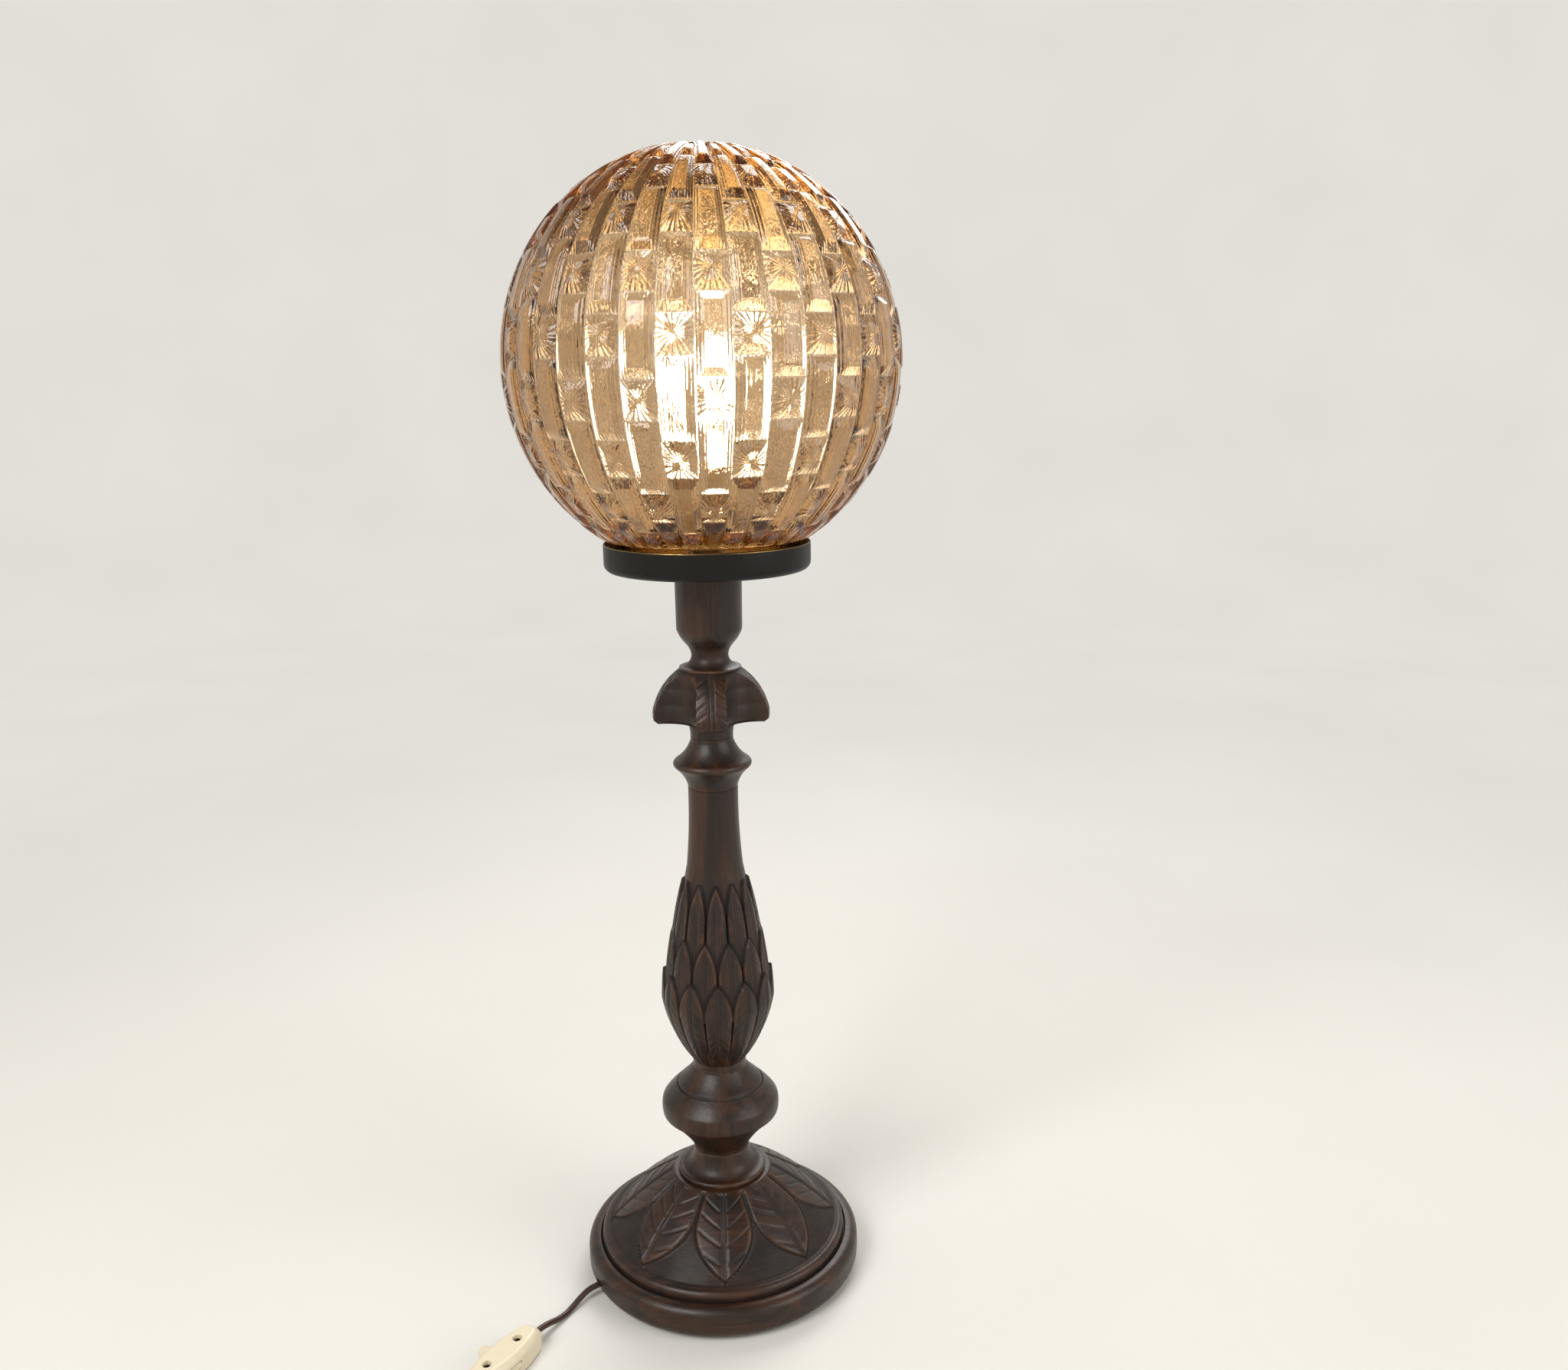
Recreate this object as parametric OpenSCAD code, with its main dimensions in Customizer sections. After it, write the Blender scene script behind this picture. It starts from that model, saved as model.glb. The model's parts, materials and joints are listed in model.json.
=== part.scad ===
// Table lamp: a turned and carved wooden stand, a black sheet-metal gallery and a pressed glass globe,
// with a bulb inside and an inline push-bar switch on its cord.
// Millimetres, +Z up. The origin is on the floor under the middle of the foot.

/* [Foot] */
// Diameter of the foot over its rounded rim
foot_d = 194; // [186:1:204]
// Height of the rounded rim
rim_h = 22; // [18:1:24]
// Radius of the rim's rounded edges
rim_round = 7; // [4:0.5:8]
// Step from the rim's rounded edge in to the dome
dome_step = 3; // [2:0.5:8]
// Height of the foot from its underside to the seat on top
foot_h = 69; // [66:1:76]
// Diameter of the flat seat on top of the foot
seat_d = 68; // [66:1:76]
// Thickness of the felt under the foot
felt_t = 2; // [1:0.5:4]
// Diameter of the recess under the foot
recess_d = 60; // [54:1:70]
// Depth of the recess under the foot
recess_h = 43; // [41:1:46]

/* [Spool] */
// Height of the spool
spool_h = 19; // [16:1:24]
// Diameter of the spool's foot ring
spool_d = 62; // [54:1:65]
// Diameter of the neck between spool and knop
neck_a_d = 39.4; // [36:0.2:44]

/* [Knop] */
// Height of the knop
knop_h = 64; // [60:1:70]
// Largest diameter of the knop
knop_d = 82.4; // [76:0.2:90]
// Height of the knop's widest band above its underside
knop_band_z = 27; // [24:1:30]
// Height of the widest band
knop_band_h = 10; // [6:1:12]
// Diameter of the groove on the knop's upper slope
knop_groove_d = 60; // [52:1:66]
// Diameter of the neck between knop and vase
neck_b_d = 37.2; // [34:0.2:40]

/* [Vase] */
// Height of the vase with its column
vase_h = 202; // [194:1:212]
// Largest diameter of the vase
vase_d = 78; // [76:1:84]
// Height of the widest place above the underside
belly_z = 51; // [46:1:56]
// Height of the tallest leaf tips
tips_a_z = 138.5; // [134:0.5:142]
// Diameter over the tallest leaf tips
tips_a_d = 44.6; // [43:0.2:48]
// Height of the middle leaf tips
tips_b_z = 100.5; // [97:0.5:104]
// Diameter over the middle leaf tips
tips_b_d = 62.4; // [60:0.2:65]
// Height of the lowest leaf tips
tips_c_z = 73; // [71:0.5:77]
// Diameter over the lowest leaf tips
tips_c_d = 74.8; // [72:0.2:76]
// Leaves in each rank
leaf_n = 12; // [8:1:14]
// Length of the free point of a leaf
leaf_point = 24; // [18:1:26]
// Diameter of the neck between vase and ring
neck_c_d = 33.6; // [31:0.2:36]

/* [Ring] */
// Height of the ring piece
ring_h = 35; // [31:1:40]
// Diameter over the ring's nose
ring_d = 52.8; // [47:0.2:58]
// Height of the nose above the underside
ring_nose_z = 16.5; // [14:0.5:18]
// Diameter of the neck between ring and leaf collar
neck_d_d = 28.6; // [27:0.2:31]

/* [Leaf collar] */
// Height of the leaf collar
collar_h = 46; // [42:1:52]
// Diameter over the four leaf tips
collar_d = 77.4; // [72:0.2:84]
// Height of the leaf tips above the underside
collar_tip_z = 11; // [10:0.5:15]
// Diameter inside the gaps between the leaves
collar_gap_d = 44; // [42:1:50]
// Width of a collar leaf at its tip
collar_leaf_w = 20; // [16:1:24]
// Diameter of the seat under the candle cup
collar_top_d = 41; // [39:0.5:42]

/* [Candle cup] */
// Height of the candle cup
cup_h = 66; // [60:1:74]
// Diameter of the candle cup
cup_d = 43.4; // [40:0.2:48]
// Diameter of the cup's waist
cup_waist_d = 24.4; // [23:0.2:28]

/* [Gallery] */
// Room between the globe's neck and the gallery's wall
gallery_room = 5.8; // [5.2:0.2:9]
// Height of the gallery's rim
gallery_h = 18; // [17:0.5:22]
// Thickness of the gallery's sheet
gallery_t = 1.2; // [0.8:0.1:1.6]
// Radius of the gallery's lower edge
gallery_round = 5; // [3:0.5:5.5]
// Thickness of the glass's seat ring
gasket_t = 1.5; // [1:0.5:3]
// Gap between a clip's tongue and the glass
clip_gap = 0.4; // [0.3:0.1:1]

/* [Globe] */
// Diameter of the globe over its pressed pattern
globe_d = 250; // [240:1:262]
// Height of the globe's figure as a part of its diameter
globe_stretch = 1.035; // [1:0.005:1.06]
// Depth of the pressed pattern
relief = 3; // [1.5:0.5:4]
// Wall of the globe under the pattern
glass_t = 3.5; // [3:0.5:6]
// Diameter of the globe's neck
globe_neck_d = 120; // [112:1:121]
// Height of the globe's neck
globe_neck_h = 17.5; // [16:0.5:22]
// Columns of blocks round the globe, an even number
columns = 36; // [28:2:40]

/* [Tube and nuts] */
// Outer diameter of the threaded tube
tube_d = 10; // [9.6:0.1:10.2]
// Bore of the threaded tube
tube_bore_d = 7; // [5.6:0.2:7.6]
// Radial play of the tube in the wood
tube_play = 0.25; // [0.15:0.05:0.5]
// Radial play of a nut or holder on the tube's thread
thread_play = 0.05; // [0.02:0.01:0.1]
// Width of a nut across its flats
nut_w = 17; // [14:0.5:19]
// Height of a nut
nut_h = 5; // [4:0.5:6]
// Diameter of a washer
washer_d = 26; // [22:1:30]
// Thickness of a washer
washer_t = 1.6; // [1:0.1:2.4]
// Diameter of the tenons between the turned pieces
tenon_d = 20; // [17:0.5:21]
// Length of a tenon
tenon_h = 6; // [4:0.5:8]
// Play of a tenon in its socket
tenon_play = 0.2; // [0.1:0.05:0.4]

/* [Lampholder] */
// Diameter of the lampholder
holder_d = 40; // [39:0.5:44]
// Height of the lampholder's cap
holder_cap_h = 28; // [27:0.5:32]
// Height of the lampholder's skirt
holder_skirt_h = 29; // [26:0.5:32]

/* [Bulb] */
// Diameter of the bulb
bulb_d = 52; // [48:1:60]
// Length of the bulb from contact to top
bulb_l = 108; // [104:1:116]
// Height of the bulb's cap from its contact
bulb_cap_h = 26; // [25:0.5:27]
// Diameter of the bulb's neck above the cap
bulb_neck_d = 26.8; // [26:0.2:30]
// Middle diameter of the bulb's thread
screw_d = 25.2; // [25:0.1:25.6]
// Height of the thread's wave on each side
screw_wave = 0.55; // [0.3:0.05:0.7]
// Pitch of the thread
screw_pitch = 3.6; // [3.4:0.1:3.8]
// Play between the bulb's thread and the shell
screw_play = 0.4; // [0.3:0.05:0.6]

/* [Switch] */
// Length of the switch
switch_l = 62; // [58:1:70]
// Width of the switch at its middle
switch_w = 24; // [22:0.5:28]
// Height of the switch
switch_h = 15.5; // [14.5:0.5:18]
// Wall of the switch's shells
switch_wall = 2; // [1.5:0.1:2.4]
// Distance between the switch's two screws
switch_screw_gap = 28; // [26:1:34]
// Length of push bar that stands out at rest
bar_out = 8; // [7:0.5:10]
// Width of the push bar
bar_w = 9; // [7:0.5:11]
// Height of the push bar
bar_h = 4.6; // [4:0.2:5.4]
// Play of the push bar in its slot
bar_play = 0.25; // [0.2:0.05:0.4]

/* [Cord] */
// Diameter of the cord
cord_d = 4; // [3.6:0.1:4.2]
// Play of the cord in its bush and in the switch
cord_play = 0.3; // [0.2:0.05:0.5]
// Length of the bush in the foot
bush_l = 27; // [20:1:30]
// Wall of the bush
bush_t = 1.65; // [1:0.05:2]
// Depth of the bush's end under the foot's rim
bush_in = 3; // [2:0.5:6]
// Radius of the coil's innermost turn
coil_r = 17; // [16:0.5:20]
// Gap between the coil's turns
coil_space = 0.5; // [0.45:0.05:1]
// Turns in each of the coil's four layers
coil_turns = 2.85; // [2.35:0.5:3.35]

/* [Plug] */
// Length of the plug's body
plug_l = 36; // [32:1:40]
// Width of the plug's body at its face
plug_w = 34; // [30:1:36]
// Height of the plug's body
plug_h = 13.7; // [12:0.1:15]
// Diameter of a pin
pin_d = 4; // [3.9:0.1:4.1]
// Length of the pins outside the body
pin_l = 19; // [18:0.5:20]
// Distance between the pins
pin_gap = 18.6; // [17:0.2:19.2]

/* [Hidden] */
$fn = 64;

// Heights of the stacked pieces
z_foot = felt_t;
z_spool = z_foot + foot_h;
z_knop = z_spool + spool_h;
z_vase = z_knop + knop_h;
z_ring = z_vase + vase_h;
z_collar = z_ring + ring_h;
z_cup = z_collar + collar_h;
z_gallery = z_cup + cup_h;
z_floor = z_gallery + gallery_t;
z_holder = z_floor + washer_t + nut_h;
z_roof = z_foot + recess_h;
z_tube = z_roof - washer_t - nut_h - 4;
tube_top = z_holder + 9;

// Radii
tube_r = tube_d / 2;
bore_r = tube_r + tube_play;
thread_r = tube_r + thread_play;
tenon_r = tenon_d / 2;
neck_a_r = neck_a_d / 2;
neck_b_r = neck_b_d / 2;
neck_c_r = neck_c_d / 2;
neck_d_r = neck_d_d / 2;
globe_neck_r = globe_neck_d / 2;
gallery_r = globe_neck_r + gallery_room + gallery_t;
holder_r = holder_d / 2;
cord_r = cord_d / 2;

// Direction and height in which the cord leaves the foot
exit_turn = 205;
exit_z = z_foot + 6;
exit_s = foot_d / 2 + 1;
bend_r = 22;

// Place of the switch and of the coil on the floor
switch_at = [-144, -112];
switch_turn = 55;
seam_z = switch_h / 2;
coil_at = [-152, -176];
coil_start = 145;
coil_lift = 1.2;
coil_pitch = cord_d + coil_space;
coil_all = 4 * coil_turns;
plug_at = [-97, -186, plug_h / 2];
plug_turn = 19;

wood = [0.23, 0.14, 0.09];
black = [0.08, 0.08, 0.08];
brass = [0.72, 0.58, 0.30];
steel = [0.70, 0.70, 0.70];
ivory = [0.92, 0.90, 0.84];
amber = [0.95, 0.72, 0.48, 0.8];
brown = [0.20, 0.12, 0.08];

// Points without those that repeat the one before
function clean(p) = [for (i = [0:len(p) - 1]) if (i == 0 || norm(p[i] - p[i - 1]) > 0.01) p[i]];

// Flat curve from p to q that stands s to the right of the straight way
function bow(p, q, s, n = 6) =
    let (d = q - p, side = [d[1], -d[0]] / norm(d))
    [for (i = [0:n]) let (t = i / n) p + t * d + 4 * s * t * (1 - t) * side];

// Quarter of an ellipse that leaves p level and reaches q upright
function level_arc(p, q, n = 6) =
    [for (i = [0:n]) let (a = 90 * i / n)
        [p[0] + (q[0] - p[0]) * sin(a), q[1] + (p[1] - q[1]) * cos(a)]];

// Quarter of an ellipse that leaves p upright and reaches q level
function upright_arc(p, q, n = 6) =
    [for (i = [0:n]) let (a = 90 * i / n)
        [q[0] + (p[0] - q[0]) * cos(a), p[1] + (q[1] - p[1]) * sin(a)]];

function reversed(p) = [for (i = [len(p) - 1:-1:0]) p[i]];

// Lower end of a turned piece's half section, with a tenon
function tenon_end(z) = [[bore_r, z - tenon_h], [tenon_r, z - tenon_h], [tenon_r, z]];

// Upper end of a turned piece's half section, with a socket for the next tenon
function socket_end(z) =
    let (r = tenon_r + tenon_play, h = tenon_h + 0.5)
    [[r, z], [r, z - h], [bore_r, z - h]];

module turned(points) rotate_extrude() polygon(clean(points));

// Round bar or tube between two heights
module pipe(r_out, r_in, z0, z1) {
    turned([[r_in, z0], [r_out, z0], [r_out, z1], [r_in, z1]]);
}

// Foot: rounded rim, a fine groove, and a dome up to the seat
function foot_outline() =
    let (r = foot_d / 2, k = rim_round, t = z_foot + rim_h, d = r - k - dome_step)
    concat(
        level_arc([r - k, z_foot], [r, z_foot + k]),
        upright_arc([r, t - k], [r - k, t]),
        [[d + 1.6, t], [d + 0.8, t - 1.5], [d, t - 1.5]],
        upright_arc([d, t + 2], [d - 4, t + 6.5]),
        bow([d - 4.5, t + 6.8], [seat_d / 2, z_spool], 2.2, 8)
    );

module foot() color(wood) difference() {
    turned(concat(
        [[recess_d / 2, z_foot]],
        foot_outline(),
        socket_end(z_spool),
        [[bore_r, z_roof], [recess_d / 2, z_roof]]
    ));
    rotate(exit_turn) translate([0, 0, exit_z]) rotate([0, 90, 0])
        cylinder(h = foot_d, r = cord_r + cord_play + bush_t + 0.05);
}

module foot_felt() color([0.12, 0.16, 0.12]) cylinder(h = felt_t, r = foot_d / 2 - rim_round - 1);

module cord_bush() color(black)
    rotate(exit_turn) translate([foot_d / 2 - bush_in - bush_l, 0, exit_z]) rotate([0, 90, 0])
        pipe(cord_r + cord_play + bush_t, cord_r + cord_play, 0, bush_l);

module washer(z) color(steel) pipe(washer_d / 2, bore_r, z, z + washer_t);

module nut(z) color(steel) translate([0, 0, z]) difference() {
    cylinder(h = nut_h, d = nut_w / cos(30), $fn = 6);
    translate([0, 0, -1]) cylinder(h = nut_h + 2, r = thread_r);
}

module foot_washer() washer(z_roof - washer_t);
module foot_nut() nut(z_roof - washer_t - nut_h);
module gallery_washer() washer(z_floor);
module gallery_nut() nut(z_floor + washer_t);
module stem_tube() color(steel) pipe(tube_r, tube_bore_d / 2, z_tube, tube_top);

// Spool: a foot ring and a hollow up to the first neck
module spool() color(wood) turned(concat(
    tenon_end(z_spool),
    [[spool_d / 2, z_spool]],
    upright_arc([spool_d / 2, z_spool + 1.5], [spool_d / 2 - 2, z_spool + 3.5], 4),
    level_arc([spool_d / 2 - 2.5, z_spool + 3.5], [neck_a_r, z_knop - 2]),
    [[neck_a_r, z_knop]],
    socket_end(z_knop)
));

// Knop: a spreading underside, an upright band and a sloping top with a fine groove
function knop_outline() =
    let (r = knop_d / 2,
         edge = [r - 0.8, z_knop + knop_band_z + knop_band_h + 1],
         top = [neck_b_r, z_vase - 2],
         g = knop_groove_d / 2,
         slope = (top[1] - edge[1]) / (edge[0] - top[0]),
         gz = edge[1] + (edge[0] - g) * slope)
    concat(
        [[neck_a_r, z_knop]],
        bow([neck_a_r + 0.4, z_knop + 3], [r - 0.6, z_knop + knop_band_z], -1.2),
        bow([r - 0.6, z_knop + knop_band_z], [r - 0.4, edge[1] - 1], 0.6, 4),
        [edge, [g + 0.9, gz - 0.9 * slope], [g, gz - 1.6], [g - 0.9, gz + 0.9 * slope]],
        bow([g - 1, gz + slope], top, -0.5, 4),
        [[neck_b_r, z_vase]]
    );

module knop() color(wood) turned(concat(tenon_end(z_knop), knop_outline(), socket_end(z_vase)));

// Gap between two neighbouring leaf points, cut straight in from the outside
module leaf_gap(r, tip, turn) {
    pitch = 2 * PI * r / leaf_n;
    reach = (pitch * pitch / 4 + leaf_point * leaf_point) / pitch;
    rotate(turn) translate([13, 0, tip - leaf_point]) rotate([90, 0, 90]) linear_extrude(40) difference() {
        translate([-pitch / 2 - 0.05, 0]) square([pitch + 0.1, leaf_point + 8]);
        translate([-reach - 0.3, 0]) circle(reach, $fn = 128);
        translate([reach + 0.3, 0]) circle(reach, $fn = 128);
    }
}

// One rank of upright leaves, from its outline and the place of its tips
module leaf_rank(outline, r, tip, turn) difference() {
    turned(concat([[12, outline[0][1]]], outline, [[12, outline[len(outline) - 1][1]]]));
    for (i = [0:leaf_n - 1]) leaf_gap(r, tip, turn + (i + 0.5) * 360 / leaf_n);
}

module vase() color(wood) {
    belly = [vase_d / 2, z_vase + belly_z];
    tip_a = [tips_a_d / 2, z_vase + tips_a_z];
    tip_b = [tips_b_d / 2, z_vase + tips_b_z];
    tip_c = [tips_c_d / 2, z_vase + tips_c_z];
    column = [neck_c_r + 2.4, tip_a[1] + 8];
    turned(concat(
        tenon_end(z_vase),
        [[neck_b_r, z_vase]],
        bow([neck_b_r, z_vase + 4], belly - [3, 0], 3),
        bow(belly - [3, 0], column, 0.5),
        bow(column, [neck_c_r, z_ring - 9], -0.6),
        [[neck_c_r, z_ring]],
        socket_end(z_ring)
    ));
    leaf_rank(bow([belly[0] - 6, tip_b[1] - leaf_point - 4], tip_a, 1.9), tip_a[0], tip_a[1], 0);
    leaf_rank(bow([belly[0] - 1.8, belly[1] - 5], tip_b, 1.6), tip_b[0], tip_b[1], 180 / leaf_n);
    leaf_rank(concat(
        bow([neck_b_r + 0.3, z_vase + 5], belly, 3.2),
        bow(belly, tip_c, 0.3, 4)
    ), tip_c[0], tip_c[1], 0);
}

// Ring: a rounded nose between two hollows
module neck_ring() color(wood) {
    low = [ring_d / 2 - 1.2, z_ring + ring_nose_z - 2.3];
    high = [ring_d / 2 - 1.2, z_ring + ring_nose_z + 2.3];
    turned(concat(
        tenon_end(z_ring),
        [[neck_c_r, z_ring]],
        bow([neck_c_r, z_ring + 1.5], low, -1.2),
        bow(low, high, 1.2, 6),
        bow(high, [neck_d_r, z_collar - 2], -1.6),
        [[neck_d_r, z_collar]],
        socket_end(z_collar)
    ));
}

// Leaf collar: a bell cut into four drooping leaves that point left, right, forward and back
module leaf_collar() color(wood) {
    tip = [collar_d / 2, z_collar + collar_tip_z];
    out = collar_d / 2;
    core = collar_gap_d / 2;
    gap_at = (out * out - core * core) / (2 * (out * cos(45 - asin(collar_leaf_w / collar_d)) - core));
    difference() {
        turned(concat(
            tenon_end(z_collar),
            [[neck_d_r, z_collar], [neck_d_r, z_collar + 3]],
            bow([neck_d_r + 1.7, tip[1] + 1.5], tip - [2.4, 0], -1),
            bow(tip + [-0.3, 1.5], tip + [0, 7], 0.3, 3),
            bow(tip + [0, 7.5], [collar_top_d / 2, z_cup], 3.1, 8),
            socket_end(z_cup)
        ));
        for (i = [0:3]) rotate(45 + 90 * i) translate([gap_at, 0, z_collar - 1])
            cylinder(h = collar_h + 2, r = gap_at - core, $fn = 96);
    }
}

// Candle cup: a waisted foot and a straight cup under the gallery
module candle_cup() color(wood) {
    foot_r = collar_top_d / 2;
    waist = [cup_waist_d / 2, z_cup + 9.5];
    cup_r = cup_d / 2;
    turned(concat(
        tenon_end(z_cup),
        [[foot_r, z_cup], [foot_r, z_cup + 1.5]],
        level_arc([foot_r - 0.5, z_cup + 1.8], waist),
        bow(waist, waist + [3.3, 7.2], -0.6, 4),
        [waist + [4.4, 8.4]],
        bow(waist + [4.5, 8.6], [cup_r - 0.1, waist[1] + 17], 0.5, 4),
        [[cup_r, waist[1] + 19.5]],
        bow([cup_r + 0.2, z_gallery - 8], [cup_r + 0.9, z_gallery], -0.2, 3),
        [[bore_r, z_gallery]]
    ));
}

// Gallery: a shallow pan with a rounded lower edge
module gallery() color(black) {
    k = gallery_round;
    inner = gallery_r - gallery_t;
    turned(concat(
        [[bore_r, z_gallery]],
        level_arc([gallery_r - k, z_gallery], [gallery_r, z_gallery + k]),
        [[gallery_r, z_gallery + gallery_h], [inner, z_gallery + gallery_h]],
        reversed(level_arc([gallery_r - k, z_floor], [inner, z_gallery + k])),
        [[bore_r, z_floor]]
    ));
}

// Three springs inside the rim, with tongues that bear on the globe's neck
module gallery_clips() color(steel) {
    out = gallery_r - gallery_t - 0.03;
    in = globe_neck_r + clip_gap;
    z = z_floor + 5;
    for (i = [0:2]) rotate(85 + 120 * i) rotate_extrude(angle = 10) polygon([
        [out, z], [out, z + 10], [out - 1.6, z + 10], [in, z + 4.5], [in + 1.4, z], [in + 2, z],
        [in + 0.65, z + 4.5], [out - 1.3, z + 9.4], [out - 0.6, z + 9.4], [out - 0.6, z]
    ]);
}

module glass_gasket() color([0.2, 0.2, 0.2])
    pipe(globe_neck_r + 0.8, globe_neck_r - glass_t - 1, z_floor, z_floor + gasket_t);

// Globe: staggered columns of long bars and square blocks, pressed into the outside
globe_floor = z_floor + gasket_t;
valley_r = globe_d / 2 - relief;
inner_r = valley_r - glass_t;
lat_low = -acos(globe_neck_r / valley_r);
globe_z = globe_floor + globe_neck_h - globe_stretch * valley_r * sin(lat_low);
half_block = 5.27;
lat_zero = 0.83;
step_low = -12;
step_high = 15;
column_turn = -82;

// Latitude of a step of half a block
function lat(j) = j <= step_low ? lat_low : lat_zero + half_block * j;

// Steps at which the blocks of even or odd columns end
function block_ends(odd) =
    let (low = odd ? [3, 5] : [0, 2])
    concat([step_low],
        [for (j = [step_low + 1:step_high - 1]) let (m = (j + 60) % 6) if (m == low[0] || m == low[1]) j],
        [step_high]);

// Steps at which a groove between two columns has a corner
grooves = concat([step_low],
    [for (j = [step_low + 1:step_high - 1]) let (m = (j + 60) % 6) if (m != 1 && m != 4) j], [step_high]);
groove_n = len(grooves);
ends_even = block_ends(false);
ends_odd = block_ends(true);
even_n = len(ends_even) - 1;
odd_n = len(ends_odd) - 1;

function on_globe(r, latitude, turn) =
    [r * cos(latitude) * cos(turn), r * cos(latitude) * sin(turn), globe_z + globe_stretch * r * sin(latitude)];

// Four corners of a block's raised top
function block_top(c, low, high) =
    let (w = 360 / columns,
         bar = high - low >= 3,
         side = bar ? 0.30 * w : 0.43 * w,
         hip = bar ? 3.4 : 0.43 * (lat(high) - lat(low)),
         a = column_turn + c * w,
         top = globe_d / 2)
    [on_globe(top, lat(low) + hip, a + side), on_globe(top, lat(low) + hip, a + w - side),
     on_globe(top, lat(high) - hip, a + w - side), on_globe(top, lat(high) - hip, a + side)];

function ends_of(c) = c % 2 == 0 ? ends_even : ends_odd;
tops_at = columns * groove_n;
function top_index(c, b) = tops_at + 4 * (floor(c / 2) * (even_n + odd_n) + (c % 2) * even_n + b);
function groove_index(m, step) = (m % columns) * groove_n + search(step, grooves)[0];

// Triangles of one block: two hips, two long bevels and the flat top
function block_faces(c, b) =
    let (ends = ends_of(c),
         l0 = groove_index(c, ends[b]), l1 = groove_index(c, ends[b + 1]),
         r0 = groove_index(c + 1, ends[b]), r1 = groove_index(c + 1, ends[b + 1]),
         t = top_index(c, b), n = l1 - l0, m = floor(n / 2))
    concat(
        [[l0, t, r0], [r0, t, t + 1], [t + 3, l1, t + 2], [t + 2, l1, r1], [t, t + 2, t + 1], [t, t + 3, t + 2]],
        [for (i = [0:n - 1]) [r0 + i, i < m ? t + 1 : t + 2, r0 + i + 1]],
        [for (i = [0:n - 1]) [l0 + i + 1, i < m ? t : t + 3, l0 + i]],
        [[t + 1, t + 2, r0 + m], [l0 + m, t + 3, t]]
    );

// Rings of the inside, from the neck's mouth up to the crown
inner_low = -acos((globe_neck_r - glass_t) / inner_r);
inner_rows = 14;
inner_rings = concat(
    [[globe_neck_r, globe_floor], [globe_neck_r - glass_t, globe_floor]],
    [for (i = [0:inner_rows - 1]) let (a = inner_low + (84 - inner_low) * i / (inner_rows - 1))
        [inner_r * cos(a), globe_z + globe_stretch * inner_r * sin(a)]]);

rings = len(inner_rings);
rings_at = tops_at + 2 * columns * (even_n + odd_n);
crown = rings_at + rings * columns;
function ring(k, m) = rings_at + k * columns + m % columns;

module globe() color(amber)
    polyhedron(
        points = concat(
            [for (m = [0:columns - 1]) for (j = grooves)
                on_globe(valley_r, lat(j), column_turn + m * 360 / columns)],
            [for (c = [0:columns - 1]) for (b = [0:len(ends_of(c)) - 2])
                each block_top(c, ends_of(c)[b], ends_of(c)[b + 1])],
            [for (k = inner_rings) for (m = [0:columns - 1]) let (a = column_turn + m * 360 / columns)
                [k[0] * cos(a), k[0] * sin(a), k[1]]],
            [[0, 0, globe_z + globe_stretch * valley_r], [0, 0, globe_z + globe_stretch * inner_r]]
        ),
        faces = concat(
            [for (c = [0:columns - 1]) for (b = [0:len(ends_of(c)) - 2]) each block_faces(c, b)],
            [for (m = [0:columns - 1]) [m * groove_n + groove_n - 1, crown,
                ((m + 1) % columns) * groove_n + groove_n - 1]],
            [for (m = [0:columns - 1]) let (a = m * groove_n, b = ((m + 1) % columns) * groove_n)
                each [[ring(0, m), b, ring(0, m + 1)], [ring(0, m), a, b]]],
            [for (k = [0:rings - 2]) for (m = [0:columns - 1])
                each [[ring(k, m + 1), ring(k + 1, m), ring(k, m)],
                      [ring(k, m + 1), ring(k + 1, m + 1), ring(k + 1, m)]]],
            [for (m = [0:columns - 1]) [ring(rings - 1, m + 1), crown + 1, ring(rings - 1, m)]]
        )
    );

// Lampholder: cap, ceramic block with contacts, screw shell and skirt
block_z = z_holder + holder_cap_h - 9;
block_h = 8;
block_r = holder_r - 2.4;
shell_z = block_z + block_h;
bulb_z = shell_z + 4.8;
terminal_s = 9;

module holder_cap() color(ivory) {
    ledge = holder_r - 4.2;
    turned(concat(
        [[thread_r, z_holder], [8.5, z_holder], [8.5, z_holder + 6]],
        bow([9, z_holder + 6.5], [holder_r, z_holder + 15], 1.5),
        [[holder_r, z_holder + holder_cap_h], [holder_r - 2.2, z_holder + holder_cap_h]],
        [[holder_r - 2.2, block_z], [ledge, block_z], [ledge, z_holder + 15.5]],
        [[7, z_holder + 9.6], [thread_r, z_holder + 9.6]]
    ));
}

module holder_block() color([0.9, 0.88, 0.82]) difference() {
    translate([0, 0, block_z]) cylinder(h = block_h, r = block_r);
    for (s = [-1, 1]) translate([s * terminal_s, 0, block_z - 1]) cylinder(h = 7, r = 1.6);
}

module terminal_screws() color(brass) for (s = [-1, 1]) translate([s * terminal_s, 0, block_z]) {
    translate([0, 0, -1.8]) cylinder(h = 1.8, r = 2.4);
    translate([0, 0, -0.5]) cylinder(h = 6, r = 1.55);
}

// Bent tongue under the bulb's contact
module holder_contact() color(brass) translate([0, 2.5, shell_z]) rotate([90, 0, 0]) linear_extrude(5) polygon([
    [-10, 0], [-6, 0], [-3.5, 4], [3.5, 4], [3.5, 4.5], [-3.8, 4.5], [-6.3, 0.5], [-10, 0.5]
]);

// Waved outline of the screw thread between two heights
function thread_wave(r, z0, z1) =
    let (n = round((z1 - z0) / screw_pitch * 6))
    [for (i = [0:n]) let (z = z0 + (z1 - z0) * i / n)
        [r + screw_wave * cos(360 * (z - bulb_z) / screw_pitch), z]];

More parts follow.
